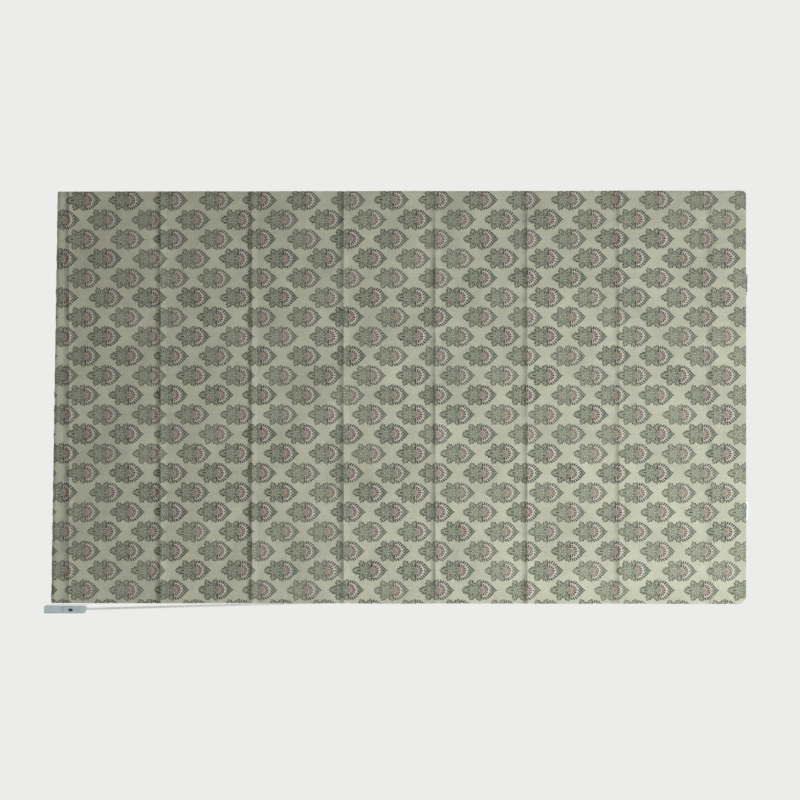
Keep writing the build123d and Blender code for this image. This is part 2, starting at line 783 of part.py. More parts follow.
# Lift cords: from each spool straight down through the rings to its toggle
for side, place in zip(("left", "centre", "right"), cord_places):
    foot = Vector(*hem_point(place, anchor_rise, anchor_depth))
    head = Vector(place, cord_top_y, axis_z)
    bend = Vector(place, cord_top_y, rail_bottom)
    with BuildPart() as lift_cord:
        with BuildLine():
            Polyline(head, bend, foot - Vector(0, 0, toggle_length / 2 - slip_gap))
        with BuildSketch(Plane(origin=head, x_dir=(1, 0, 0), z_dir=(0, 0, -1))):
            Circle(cord_diameter / 2)
        sweep(transition=Transition.RIGHT)
    save(lift_cord.part, f"lift_cord_{side}")

# Bead chain: one faceted bead, copied down both runs, over the wheel and round the pulley
with BuildPart() as bead:
    with BuildSketch() as bead_belt:
        RegularPolygon(bead_radius, bead_facets)
    tips = (Vertex(0, 0, -bead_pitch / 2), Vertex(0, 0, bead_pitch / 2))
    loft((tips[0], bead_belt.sketch, tips[1]), ruled=True)
beads = []
for side in (-1, 1):
    upper = Vector(wheel_x, axis_y + side * wheel_radius, axis_z)
    lower = Vector(holder_x, pulley_y + side * pulley_radius, pulley_z)
    step = (lower - upper) / beads_per_run
    for index in range(1, beads_per_run):
        beads.append(place_bead(bead.part, upper + step * index, step))
arcs = (
    (Vector(wheel_x, axis_y, axis_z), wheel_radius, wheel_pockets, 1),
    (Vector(holder_x, pulley_y, pulley_z), pulley_radius, pulley_stations, -1),
)
for centre, reach, stations, way in arcs:
    for index in range(stations // 2 + 1):
        turn = way * 2 * pi * index / stations
        out = Vector(0, cos(turn), sin(turn))
        beads.append(place_bead(bead.part, centre + out * reach, Vector(0, -sin(turn), cos(turn))))
save(Compound(children=beads), "bead_chain")

# Chain holder housing: a fixed body with a front track, open above for the slider
holder_front = holder_back_plane - holder_depth
cavity_width = holder_width - 2 * holder_wall
slider_bottom = holder_top - slider_length
window_z = pulley_z - window_from_pulley
with BuildPart() as holder_housing:
    with BuildSketch(Plane.XY.offset(holder_bottom)):
        with BuildLine():
            Polyline(
                (holder_x - holder_width / 2, holder_back_plane),
                (holder_x - holder_width / 2, holder_front + holder_bevel),
                (holder_x - holder_width / 2 + holder_bevel, holder_front),
                (holder_x + holder_width / 2 - holder_bevel, holder_front),
                (holder_x + holder_width / 2, holder_front + holder_bevel),
                (holder_x + holder_width / 2, holder_back_plane),
                close=True,
            )
        make_face()
    extrude(amount=holder_length)
    with Locations((holder_x, holder_front, holder_bottom + holder_wall)):
        Box(
            cavity_width - 2 * slip_gap, 2 * holder_track_depth, holder_length,
            align=(Align.CENTER, Align.CENTER, Align.MIN), mode=Mode.SUBTRACT,
        )
    with Locations((holder_x, holder_front - cut_overrun, slider_bottom - slip_gap)):
        Box(
            cavity_width, holder_depth - holder_back + cut_overrun, slider_length + cut_overrun,
            align=(Align.CENTER, Align.MIN, Align.MIN), mode=Mode.SUBTRACT,
        )
    with BuildSketch(Plane.XZ.offset(-holder_back_plane)):
        with Locations((holder_x, window_z)):
            Circle(fixing_hole_radius)
    extrude(amount=holder_back + cut_overrun, mode=Mode.SUBTRACT)
save(holder_housing.part, "chain_holder_housing")

# Chain holder slider: open behind, it carries the pulley, with a ribbed grip and a window over the fixing hole
slider_width = cavity_width - 2 * slip_gap
slider_back = holder_back_plane - holder_back - slip_gap
with BuildPart() as holder_slider:
    with Locations((holder_x, slider_back, slider_bottom)):
        Box(slider_width, slider_depth, slider_length, align=(Align.CENTER, Align.MAX, Align.MIN))
    with Locations((holder_x, slider_back + cut_overrun, slider_bottom + slider_wall)):
        Box(
            slider_width - 2 * slider_wall, slider_depth - slider_wall + cut_overrun, slider_length,
            align=(Align.CENTER, Align.MAX, Align.MIN), mode=Mode.SUBTRACT,
        )
    with Locations((holder_x, slider_back - slider_depth / 2, window_z)):
        Box(window_width, slider_depth + 2 * cut_overrun, window_length, mode=Mode.SUBTRACT)
    with BuildSketch(Plane.YZ.offset(holder_x - slider_width / 2)):
        with Locations((pulley_y, pulley_z)):
            Circle(axle_radius)
    extrude(amount=slider_width, mode=Mode.SUBTRACT)
    for index in range(slider_rib_count):
        rib_z = holder_top - slider_ribs_from_top - slider_rib_pitch * index
        with Locations((holder_x, holder_front, rib_z)):
            Box(
                slider_width - 2 * slider_wall, slider_rib_height, slider_rib_width,
                align=(Align.CENTER, Align.MAX, Align.CENTER),
            )
save(holder_slider.part, "chain_holder_slider")

# Pulley on its axle
groove_radius = pulley_radius - bead_radius - slip_gap
with BuildPart() as holder_pulley:
    with BuildSketch(Plane(origin=(holder_x, pulley_y, pulley_z), x_dir=(1, 0, 0), z_dir=(0, -1, 0))):
        with BuildLine():
            Polyline(
                (-pulley_width / 2, axle_radius + running_gap),
                (-pulley_width / 2, groove_radius + pulley_lip),
                (0, groove_radius),
                (pulley_width / 2, groove_radius + pulley_lip),
                (pulley_width / 2, axle_radius + running_gap),
                close=True,
            )
        make_face()
    revolve(axis=Axis((holder_x, pulley_y, pulley_z), (1, 0, 0)))
save(holder_pulley.part, "chain_holder_pulley")
with BuildPart() as holder_axle:
    with BuildSketch(Plane.YZ.offset(holder_x - slider_width / 2)):
        with Locations((pulley_y, pulley_z)):
            Circle(axle_radius)
    extrude(amount=slider_width)
save(holder_axle.part, "chain_holder_axle")

# Head brackets and turn levers, one hand each
cam_half = rail_depth / 2 - rail_lip + lever_cam_overlap
foot_y = rail_depth / 2 - rail_lip / 2
for side, place in bracket_places.items():
    hand = 1 if place > 0 else -1
    with BuildPart() as head_bracket:
        with BuildSketch(Plane.XY.offset(-bracket_thickness)):
            with Locations((place, 0)):
                RectangleRounded(bracket_length, bracket_depth, bracket_round)
            with Locations((place, 0)):
                Circle(lever_pin_radius + running_gap, mode=Mode.SUBTRACT)
        extrude(amount=bracket_thickness)
        foot_x = hand * (bracket_length / 2 - foot_side)
        feet = (
            (place + foot_x, -foot_y),
            (place - foot_x, -foot_y),
            (place - foot_x, foot_y),
        )
        with BuildSketch(Plane.XY.offset(rail_top)):
            with Locations(*feet):
                Rectangle(foot_side, foot_side)
        extrude(amount=-bracket_thickness - rail_top)
        for hole_y in (-bracket_hole_spacing / 2, bracket_hole_spacing / 2):
            with Locations((place, hole_y, -bracket_thickness)):
                Cylinder(
                    bracket_hole_radius, 2 * bracket_thickness + cut_overrun, mode=Mode.SUBTRACT,
                )
                Cone(
                    bracket_hole_radius + bracket_sink, bracket_hole_radius, bracket_sink,
                    align=(Align.CENTER, Align.CENTER, Align.MIN), mode=Mode.SUBTRACT,
                )
    save(head_bracket.part, f"head_bracket_{side}")
    with BuildPart() as bracket_lever:
        with BuildSketch(Plane.XY.offset(-bracket_thickness - lever_gap - lever_thickness)):
            with Locations((place, 0)):
                Circle(lever_hub_radius)
            with Locations((place + hand * lever_handle_length / 2, 0)):
                Rectangle(lever_handle_length, lever_handle_width)
        extrude(amount=lever_thickness)
        with BuildSketch(Plane.XY.offset(lever_cam_bottom)):
            with Locations((place, 0)):
                Circle(lever_hub_radius)
        extrude(amount=-lever_cam_bottom - bracket_thickness - lever_gap)
        with BuildSketch(Plane.XY.offset(lever_cam_bottom)):
            with Locations((place, 0)):
                Rectangle(lever_cam_width, 2 * cam_half)
        extrude(amount=lever_thickness)
        with BuildSketch(Plane.XY.offset(-bracket_thickness - lever_gap)):
            with Locations((place, 0)):
                Circle(lever_pin_radius)
        extrude(amount=bracket_thickness + lever_gap - running_gap)
    save(bracket_lever.part, f"bracket_lever_{side}")
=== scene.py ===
import logging
import math
from dataclasses import dataclass, field
from enum import Enum
from functools import cache
from typing import Any, Callable, Sequence

import bpy
from mathutils import Matrix, Vector, noise


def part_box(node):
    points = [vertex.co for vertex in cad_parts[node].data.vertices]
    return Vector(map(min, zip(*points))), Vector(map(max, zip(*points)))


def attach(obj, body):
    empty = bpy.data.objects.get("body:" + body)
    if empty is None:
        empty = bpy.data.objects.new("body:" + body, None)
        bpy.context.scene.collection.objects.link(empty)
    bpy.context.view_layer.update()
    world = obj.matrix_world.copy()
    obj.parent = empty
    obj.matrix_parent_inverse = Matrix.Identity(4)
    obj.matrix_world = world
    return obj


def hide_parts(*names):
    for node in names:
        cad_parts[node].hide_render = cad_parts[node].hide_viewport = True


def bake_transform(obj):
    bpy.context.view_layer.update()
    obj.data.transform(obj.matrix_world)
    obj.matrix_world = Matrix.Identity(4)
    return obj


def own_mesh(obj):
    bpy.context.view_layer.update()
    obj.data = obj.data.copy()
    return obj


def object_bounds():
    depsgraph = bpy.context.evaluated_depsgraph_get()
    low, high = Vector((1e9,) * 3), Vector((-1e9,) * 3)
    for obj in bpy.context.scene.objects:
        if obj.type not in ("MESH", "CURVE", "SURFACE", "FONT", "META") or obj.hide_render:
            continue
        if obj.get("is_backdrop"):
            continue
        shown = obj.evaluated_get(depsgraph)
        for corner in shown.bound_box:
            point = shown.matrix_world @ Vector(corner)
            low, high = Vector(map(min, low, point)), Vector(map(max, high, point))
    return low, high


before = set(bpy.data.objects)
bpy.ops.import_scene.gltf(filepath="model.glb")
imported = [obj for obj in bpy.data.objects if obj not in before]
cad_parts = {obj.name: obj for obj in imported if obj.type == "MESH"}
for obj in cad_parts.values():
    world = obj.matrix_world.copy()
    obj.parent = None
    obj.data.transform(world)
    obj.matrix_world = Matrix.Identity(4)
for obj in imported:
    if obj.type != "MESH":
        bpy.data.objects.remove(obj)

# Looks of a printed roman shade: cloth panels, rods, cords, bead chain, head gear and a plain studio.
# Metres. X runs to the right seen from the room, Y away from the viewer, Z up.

log = logging.getLogger("roman_shade")
MM = 0.001
PLACE = "cloth_place"
Colour = tuple[float, float, float, float]


def paint(red: float, green: float, blue: float) -> Colour:
    """Turns an eight-bit display colour into a linear one.

    Args:
        red, green, blue: the display colour, 0 to 255.

    Returns:
        The linear colour with full alpha.
    """
    linear = [
        part / 12.92 if part <= 0.04045 else ((part + 0.055) / 1.055) ** 2.4
        for part in (red / 255, green / 255, blue / 255)
    ]
    return (linear[0], linear[1], linear[2], 1.0)


def toned(colour: Colour, by: float) -> Colour:
    """Makes a colour darker or paler, up to full white.

    Args:
        colour: the colour to change.
        by: the factor on its three parts.

    Returns:
        The changed colour with full alpha.
    """
    red, green, blue = (min(1.0, part * by) for part in colour[:3])
    return (red, green, blue, 1.0)


class Term:
    """A shader value; arithmetic on it adds Math nodes to its graph."""

    def __init__(self, graph: "Graph", socket: bpy.types.NodeSocket) -> None:
        """Keeps the graph and the socket that the value comes from."""
        self.graph = graph
        self.socket = socket

    def __add__(self, other: "Term | float") -> "Term":
        """Adds."""
        return self.graph.math("ADD", self, other)

    def __radd__(self, other: float) -> "Term":
        """Adds to a number."""
        return self.graph.math("ADD", other, self)

    def __sub__(self, other: "Term | float") -> "Term":
        """Subtracts."""
        return self.graph.math("SUBTRACT", self, other)

    def __rsub__(self, other: float) -> "Term":
        """Subtracts from a number."""
        return self.graph.math("SUBTRACT", other, self)

    def __mul__(self, other: "Term | float") -> "Term":
        """Multiplies."""
        return self.graph.math("MULTIPLY", self, other)

    def __rmul__(self, other: float) -> "Term":
        """Multiplies a number."""
        return self.graph.math("MULTIPLY", other, self)

    def __truediv__(self, other: "Term | float") -> "Term":
        """Divides."""
        return self.graph.math("DIVIDE", self, other)

    def __rtruediv__(self, other: float) -> "Term":
        """Divides a number."""
        return self.graph.math("DIVIDE", other, self)

    def __pow__(self, other: "Term | float") -> "Term":
        """Raises to a power."""
        return self.graph.math("POWER", self, other)

    def __abs__(self) -> "Term":
        """Drops the sign."""
        return self.graph.math("ABSOLUTE", self)


Value = Term | float


class Graph:
    """The node tree of one material or of the world."""

    def __init__(self, owner: bpy.types.Material | bpy.types.World) -> None:
        """Empties the owner's tree.

        Args:
            owner: the material or world that the nodes belong to.
        """
        self.owner = owner
        owner.use_nodes = True
        self.tree = owner.node_tree
        self.tree.nodes.clear()

    @classmethod
    def material(cls, name: str) -> "Graph":
        """Starts a new material."""
        return cls(bpy.data.materials.new(f"{name}_look"))

    def node(
        self,
        kind: str,
        settings: dict[str, Any] | None = None,
        sockets: dict[str | int, Any] | None = None,
    ) -> bpy.types.Node:
        """Adds any node.

        Args:
            kind: the node's type.
            settings: its own settings, set first.
            sockets: values or links of its inputs, by name or number.

        Returns:
            The node.
        """
        made = self.tree.nodes.new(kind)
        for key, value in (settings or {}).items():
            setattr(made, key, value)
        for key, value in (sockets or {}).items():
            if isinstance(value, Term):
                self.tree.links.new(value.socket, made.inputs[key])
            else:
                made.inputs[key].default_value = value
        return made

    def math(self, operation: str, *values: Value) -> Term:
        """Adds a Math node on one to three values."""
        made = self.node("ShaderNodeMath", {"operation": operation}, dict(enumerate(values)))
        return Term(self, made.outputs[0])

    def step(self, value: Value, low: float, high: float) -> Term:
        """Rises smoothly from 0 to 1.

        Args:
            value: the value to test.
            low, high: where the rise starts and ends.

        Returns:
            The risen value.
        """
        sockets = {"Value": value, "From Min": low, "From Max": high}
        made = self.node("ShaderNodeMapRange", {"interpolation_type": "SMOOTHSTEP"}, sockets)
        return Term(self, made.outputs["Result"])

    def zigzag(self, value: Term) -> Term:
        """Rises from 0 to one half and falls back in every whole step of a value."""
        return self.math("PINGPONG", value, 0.5)

    def mix(self, factor: Value, first: Term | Colour, second: Term | Colour) -> Term:
        """Mixes two colours."""
        made = self.node("ShaderNodeMix", {"data_type": "RGBA"}, {0: factor, 6: first, 7: second})
        return Term(self, made.outputs[2])

    def place(self, attribute: str | None = None) -> Term:
        """Gives a place on the piece.

        Args:
            attribute: the point attribute that holds the place, or none for object coordinates.

        Returns:
            The place.
        """
        if attribute is None:
            return Term(self, self.node("ShaderNodeTexCoord").outputs["Object"])
        return Term(self, self.node("ShaderNodeAttribute", {"attribute_name": attribute}).outputs["Vector"])

    def split(self, vector: Term) -> tuple[Term, Term, Term]:
        """Takes a vector apart."""
        made = self.node("ShaderNodeSeparateXYZ", sockets={0: vector})
        return Term(self, made.outputs[0]), Term(self, made.outputs[1]), Term(self, made.outputs[2])

    def join(self, x: Value, y: Value, z: Value) -> Term:
        """Makes a vector of three values."""
        return Term(self, self.node("ShaderNodeCombineXYZ", sockets={0: x, 1: y, 2: z}).outputs[0])

    def scaled(self, vector: Term, by: Sequence[float]) -> Term:
        """Scales a vector along its axes."""
        made = self.node("ShaderNodeVectorMath", {"operation": "MULTIPLY"}, {0: vector, 1: tuple(by)})
        return Term(self, made.outputs[0])

    def noise(self, vector: Term, scale: float, detail: float = 2.0) -> Term:
        """Gives smooth noise from 0 to 1 around one half."""
        made = self.node("ShaderNodeTexNoise", sockets={"Vector": vector, "Scale": scale, "Detail": detail})
        return Term(self, made.outputs[0])

    def chance(self, vector: Term) -> Term:
        """Gives one random value from 0 to 1 for each whole vector."""
        made = self.node("ShaderNodeTexWhiteNoise", {"noise_dimensions": "3D"}, {"Vector": vector})
        return Term(self, made.outputs["Value"])

    def bump(self, height: Term, strength: float, distance: float) -> Term:
        """Turns a height into a normal."""
        sockets = {"Strength": strength, "Distance": distance, "Height": height}
        return Term(self, self.node("ShaderNodeBump", sockets=sockets).outputs[0])

    def surface(self, **sockets: Any) -> bpy.types.Material:
        """Closes the graph with one shader.

        Args:
            sockets: the shader's inputs, with underscores for spaces.

        Returns:
            The finished material.
        """
        named = {key.replace("_", " "): value for key, value in sockets.items()}
        shader = self.node("ShaderNodeBsdfPrincipled", sockets=named)
        self.node("ShaderNodeOutputMaterial", sockets={"Surface": Term(self, shader.outputs[0])})
        return self.owner


@dataclass(frozen=True)
class PrintedCotton:
    """Slubby cotton with a block-printed sprig in a half-drop repeat; lengths in millimetres."""

    name: str
    ground: Colour
    strength: float = 0.96
    # Weave: pitch of the threads, their rise, how uneven the ground is, and the painted shade of soft
    # wrinkles
    thread_pitches: tuple[float, float] = (0.9, 0.8)
    weave_rise: float = 0.05
    slub: float = 0.09
    painted_wrinkle_shade: float = 0.4
    # Repeat: size and start of a cell, how far the cloth drew and how far each block missed its place
    row_width: float = 41.85
    repeat: float = 94.7
    row_start: float = -4.7
    repeat_start: float = 47.0
    crown_sink: float = 12.0
    slip: float = 4.0
    block_slips: tuple[float, float] = (0.8, 5.0)
    # Leaves: each tip's place beside and above the sprig's middle, its half width, and the leaves' form
    leaf_tips: tuple[tuple[float, float, float], ...] = (
        (0.0, -28.8, 8.6),
        (22.4, -11.6, 7.2),
        (23.6, 14.0, 6.4),
    )
    leaf_curve: float = 1.1
    leaf_fullness: float = 4.3
    tooth: float = 5.2
    tooth_depth: float = 4.4
    heart_place: float = 0.46
    heart_shares: tuple[float, float] = (0.18, 0.2)
    leaf_edge: tuple[float, float] = (0.96, 1.06)
    blade_edge: tuple[float, float] = (0.58, 0.72)
    seam_start: tuple[float, float] = (0.4, 0.7)
    seam_edge: tuple[float, float] = (0.1, 0.3)
    halo_edge: tuple[float, float] = (1.9, 2.9)
    soft_edge: tuple[float, float] = (0.8, 1.2)
    # Flower head: the arch, its strokes, the dome of petals and the calyx below it
    head_rise: float = 15.5
    head_half_width: float = 22.0
    head_height: float = 36.0
    head_curve: float = 1.4
    outer_strokes: float = 25.4
    outer_turn: float = 0.8
    arch_foot: tuple[float, float] = (-5.0, -2.0)
    arch_edge: tuple[float, float] = (0.95, 1.0)
    stroke_start: tuple[float, float] = (0.66, 0.7)
    stroke_edge: tuple[float, float] = (0.4, 0.54)
    point_start: tuple[float, float] = (0.46, 0.62)
    spot_edge: tuple[float, float] = (0.1, 0.2)
    petals: tuple[float, float] = (10.0, 15.0)
    petal_edge: tuple[float, float] = (0.15, 0.25)
    dome_radii: tuple[float, float] = (6.4, 13.6)
    ring_width: float = 2.5
    spot_scale: float = 0.15
    calyx_radii: tuple[float, float] = (5.6, 7.4)
    # Creases: the rods' places down the cloth, the fold over each, and the drag and slack between them
    first_rod: float = 271.0
    rod_pitch: float = 197.0
    crease_rise: float = 5.2
    crease_below: float = 12.5
    crease_above: float = 12.0
    crease_curves: tuple[float, float] = (1.6, 1.15)
    crease_waver: float = 3.0
    crease_strength: float = 0.95
    crease_change: float = 2.0
    drag_reach: float = 45.0
    drag_rises: tuple[float, float] = (2.2, 7.0)
    slack_rise: float = 10.0
    lump_rise: float = 0.25
    hem_roll: float = 1478.0
    hem_roll_share: float = 0.6
    hem_slope: float = 0.0158
    # Inks, and how much of what lies below the weaker ones cover
    olive: Colour = paint(47, 50, 34)
    leaf: Colour = paint(130, 135, 110)
    vein: Colour = paint(43, 52, 52)
    brown: Colour = paint(46, 35, 34)
    teal: Colour = paint(66, 72, 64)
    calyx: Colour = paint(124, 129, 108)
    maroon: Colour = paint(82, 40, 47)
    blush: Colour = paint(190, 176, 160)
    ring: Colour = paint(208, 206, 190)
    arch_cover: float = 0.7
    point_cover: float = 0.8
    blush_cover: float = 0.8
    inner_petal_cover: float = 0.4
    calyx_cover: float = 0.85
    seam_cover: float = 0.6
    halo_cover: float = 0.5
    heart_cover: float = 0.95

    def build(self) -> bpy.types.Material:
        """Builds the material.

        Returns:
            Cotton whose print follows the cloth_place attribute.
        """
        graph = Graph.material(self.name)
        place = graph.place(PLACE)
        across, down, _ = graph.split(place)
        across, down = across * (1 / MM), down * (1 / MM)
        fuzz = graph.noise(place, 620.0, 3.0) - 0.5
        drawn_across = across + self.slip * (graph.noise(place, 90.0) - 0.5)
        drawn_down = down + self.slip * (graph.noise(place, 84.0) - 0.5)
        colour = self.cloth(graph, place, fuzz)
        for half in (0, 1):
            colour = self.sprig(graph, drawn_across, drawn_down, fuzz, colour, half)
        height = self.weave_rise * self.weave(graph, across, down) + self.creases(graph, place, across, down)
        return graph.surface(
            Base_Color=colour,
            Roughness=0.86 + 0.1 * fuzz,
            Normal=graph.bump(height, strength=1.0, distance=MM),
            Sheen_Weight=0.12,
            Sheen_Roughness=0.5,
            Specular_IOR_Level=0.2,
        )

    def weave(self, graph: Graph, across: Term, down: Term) -> Term:
        """Gives the height of a plain weave of warp and weft threads.

        Args:
            graph: the material's graph.
            across, down: the place on the cloth.

        Returns:
            The height, from -1 to 1.
        """
        warp = graph.math("SINE", across * (2 * math.pi / self.thread_pitches[0]))
        weft = graph.math("SINE", down * (2 * math.pi / self.thread_pitches[1]))
        return warp * weft

    def creases(self, graph: Graph, place: Term, across: Term, down: Term) -> Term:
        """Gives the height of the creases that the rods press and of the drag lines near them.

        Args:
            graph: the material's graph.
            place: the place on the cloth in metres.
            across, down: the same place in millimetres.

        Returns:
            The height.
        """
        waver = graph.noise(graph.scaled(place, (16.0, 5.0, 1.0)), 1.0) - 0.5
        drag = graph.noise(graph.scaled(place, (26.0, 14.0, 1.0)), 1.0, 3.0) - 0.5
        slack = graph.noise(graph.scaled(place, (9.0, 12.0, 1.0)), 1.0, 3.0) - 0.5
        lumps = graph.noise(graph.scaled(place, (40.0, 420.0, 1.0)), 1.0) - 0.5
        past = down - self.first_rod + self.crease_waver * waver
        below = graph.math("FLOORED_MODULO", past, self.rod_pitch)
        above = self.rod_pitch - below
        step = graph.math("MAXIMUM", 1.0 - below / self.crease_below, 0.0) ** self.crease_curves[0]
        swell = graph.math("MAXIMUM", 1.0 - above / self.crease_above, 0.0) ** self.crease_curves[1]
        roll = down - self.hem_roll - across * self.hem_slope
        under = graph.math("MAXIMUM", 1.0 - graph.math("MAXIMUM", roll, 0.0) / self.crease_below, 0.0)
        over = graph.math("MAXIMUM", 1.0 + graph.math("MINIMUM", roll, 0.0) / self.crease_above, 0.0)
        nearest = graph.math("MINIMUM", graph.math("MINIMUM", below, abs(roll)), above)
        hold = 1.0 - graph.step(nearest, 0.0, self.drag_reach)
        depth = self.crease_strength + self.crease_change * waver
        folds = depth * (step + swell) + self.hem_roll_share * under * over
        pulled = drag * (self.drag_rises[0] + self.drag_rises[1] * hold)
        return self.crease_rise * folds + pulled + self.slack_rise * slack + self.lump_rise * lumps

    def cloth(self, graph: Graph, place: Term, fuzz: Term) -> Term:
        """Gives the unprinted ground with slubs along both threads, a fine fuzz and broad patches of painted
        shade and light that stand for soft wrinkles.

        Args:
            graph: the material's graph.
            place: the place on the cloth in metres.
            fuzz: fine noise.

        Returns:
            The ground's colour.
        """
        warp = graph.noise(graph.scaled(place, (420.0, 55.0, 1.0)), 1.0, 3.0)
        weft = graph.noise(graph.scaled(place, (55.0, 420.0, 1.0)), 1.0, 3.0)
        grain = graph.noise(place, 360.0, 1.0)
        shade_patches = graph.noise(place, 9.0, 3.0)
        threads = self.slub * (1.8 * (warp - 0.5) + 2.2 * (weft - 0.5) + 2.6 * fuzz + 3.4 * (grain - 0.5))
        # painted shade: broad patches made lighter and darker to stand for the light falling on soft wrinkles
        tone = 1.0 + threads + self.painted_wrinkle_shade * (shade_patches - 0.5)
        return graph.mix(graph.step(tone, 0.86, 1.14), toned(self.ground, 0.84), toned(self.ground, 1.12))

    def sprig(self, graph: Graph, across: Term, down: Term, fuzz: Term, ground: Term, half: int) -> Term:
        """Prints every second column of the repeat, with one sprig in each cell.

        Args:
            graph: the material's graph.
            across, down: the place on the cloth.
            fuzz: fine noise that breaks the edges of the ink.
            ground: the colour of the cloth below.
            half: 0 for the even columns, or 1 for the odd ones, which stand half a repeat higher.

        Returns:
            The printed colour.
        """
        pitch = 2 * self.row_width
        start = self.row_start + half * self.row_width
        column = graph.math("FLOOR", (across - start) / pitch + 0.5)
        drop = down - (self.repeat_start - half * self.repeat / 2)
        row = graph.math("FLOOR", drop / self.repeat)
        luck = graph.chance(graph.join(column, row, float(half)))
        other = graph.chance(graph.join(row, column, 7.0 + half))
        side = abs(across - start - column * pitch + (luck - 0.5) * self.block_slips[0])
        rise = self.repeat / 2 + self.crown_sink - (drop - row * self.repeat)
        rise = rise + (other - 0.5) * self.block_slips[1]
        colour = self.head(graph, side, rise, fuzz, ground)
        colour = self.leaves(graph, side, rise, fuzz, colour)
        wear = graph.noise(graph.join(across, down, 0.0), 0.14)
        hold = self.strength * (0.84 + 0.2 * luck - 0.5 * (wear - 0.5) + 1.1 * fuzz)
        return graph.mix(graph.math("MINIMUM", graph.math("MAXIMUM", hold, 0.0), 1.0), ground, colour)

    def leaves(self, graph: Graph, side: Term, rise: Term, fuzz: Term, below: Term) -> Term:
        """Prints the five leaves, each with a dark toothed edge, a grey blade, pale seams and a dark heart.

        Args:
            graph: the material's graph.
            side, rise: the place beside and above the sprig's middle.
            fuzz: fine noise that breaks the edges.
            below: the colour below.

        Returns:
            The colour with the leaves on it.
        """
        far = 9.0
        spread: Value = far
        beside: Value = far
        heart: Value = far
        for tip_side, tip_rise, width in self.leaf_tips:
            length = math.hypot(tip_side, tip_rise)
            way = (tip_side / length, tip_rise / length)
            along = (side * way[0] + rise * way[1]) / length
            off = abs(side * way[1] - rise * way[0])
            tooth = self.tooth_depth * (graph.math("FRACT", along * (length / self.tooth)) - 0.45)
            blade = graph.math("MAXIMUM", along, 0.0) ** self.leaf_curve * (1.0 - along) * self.leaf_fullness
            reach = off / graph.math("MAXIMUM", blade * (width + tooth), 0.02)
            beside = graph.math("MINIMUM", beside, graph.math("MAXIMUM", spread, reach))
            spread = graph.math("MINIMUM", spread, reach)
            inner = (along - self.heart_place) / self.heart_shares[0]
            heart = graph.math("MINIMUM", heart, inner ** 2.0 + (off / (self.heart_shares[1] * width)) ** 2.0)
        seam = graph.step(spread, *self.seam_start) * (1.0 - graph.step(beside - spread, *self.seam_edge))
        spread = spread + 0.5 * fuzz
        inked = 1.0 - graph.step(spread, *self.leaf_edge)
        colour = graph.mix(inked, below, self.olive)
        colour = graph.mix(1.0 - graph.step(spread, *self.blade_edge), colour, self.leaf)
        colour = graph.mix(self.seam_cover * seam * inked, colour, self.ring)
        halo = 1.0 - graph.step(heart + fuzz, *self.halo_edge)
        colour = graph.mix(self.halo_cover * halo, colour, self.ring)
        core = 1.0 - graph.step(heart + fuzz, *self.soft_edge)
        return graph.mix(self.heart_cover * core, colour, self.vein)

    def head(self, graph: Graph, side: Term, rise: Term, fuzz: Term, below: Term) -> Term:
        """Prints the flower head: a pointed arch of strokes with a leafy tip round the petals.

        Args:
            graph: the material's graph.
            side, rise: the place beside and above the sprig's middle.
            fuzz: fine noise that breaks the edges.
            below: the colour below.

        Returns:
            The colour with the head on it.
        """
        up = rise - self.head_rise
        reach = graph.math("SQRT", side * side + up * up) + 1.6 * fuzz
        angle = graph.math("ARCTAN2", side, up) / (2 * math.pi)
        lift = graph.math("MINIMUM", graph.math("MAXIMUM", up, 0.0) / self.head_height, 1.0)
        arch = 0.5 - 0.5 * graph.math("COSINE", lift ** self.head_curve * math.pi)
        past = graph.math("MAXIMUM", up / self.head_height - 1.0, 0.0)
        level = arch + side / self.head_half_width + 0.1 * fuzz + 6.0 * past
        shown = graph.step(up, *self.arch_foot) * (1.0 - graph.step(level, *self.arch_edge))
        colour = graph.mix(shown * self.arch_cover, below, self.ring)
        left = graph.zigzag((side + up) * self.spot_scale)
        right = graph.zigzag((up - side) * self.spot_scale)
        spots = graph.step(graph.math("MINIMUM", left, right), *self.spot_edge)
        ring_edge = self.dome_radii[1] + self.ring_width
        tip = graph.step(reach, ring_edge - 0.5, ring_edge + 0.5)
        point = graph.step(lift, *self.point_start)
        colour = graph.mix(shown * point * self.point_cover, colour, self.leaf)
        colour = graph.mix(shown * tip * spots, colour, self.teal)
        stroke = graph.zigzag(angle * self.outer_strokes + self.outer_turn) * 2.0
        outer = shown * graph.step(level, *self.stroke_start) * graph.step(stroke, *self.stroke_edge)
        colour = graph.mix(outer * (1.0 - 0.75 * point), colour, self.brown)
        colour = self.dome(graph, reach, angle, shown, colour)
        calyx_side, calyx_rise = self.calyx_radii
        cup = ((up + calyx_rise / 2) / calyx_rise) ** 2.0 + (side / calyx_side) ** 2.0
        sepals = 1.0 - graph.step(cup + fuzz, *self.soft_edge)
        return graph.mix(self.calyx_cover * sepals, colour, self.calyx)

    def dome(self, graph: Graph, reach: Term, angle: Term, shown: Term, below: Term) -> Term:
        """Prints the dome of petals: a faint inner row and a strong outer one on a blush.

        Args:
            graph: the material's graph.
            reach, angle: the distance from the dome's middle and the share of a turn from its axis.
            shown: where the flower head is printed.
            below: the colour below.

        Returns:
            The colour with the petals on it.
        """
        inner, outer = self.dome_radii
        dome = shown * (1.0 - graph.step(reach, outer - 0.5, outer + 0.5))
        colour = graph.mix(dome * self.blush_cover, below, self.blush)
        rows = graph.step(reach, inner - 0.4, inner + 0.4)
        few = graph.step(graph.zigzag(angle * self.petals[0]), *self.petal_edge)
        many = graph.step(graph.zigzag(angle * self.petals[1] + 0.5), *self.petal_edge)
        inked = rows * many + self.inner_petal_cover * (1.0 - rows) * few
        return graph.mix(dome * inked, colour, self.maroon)


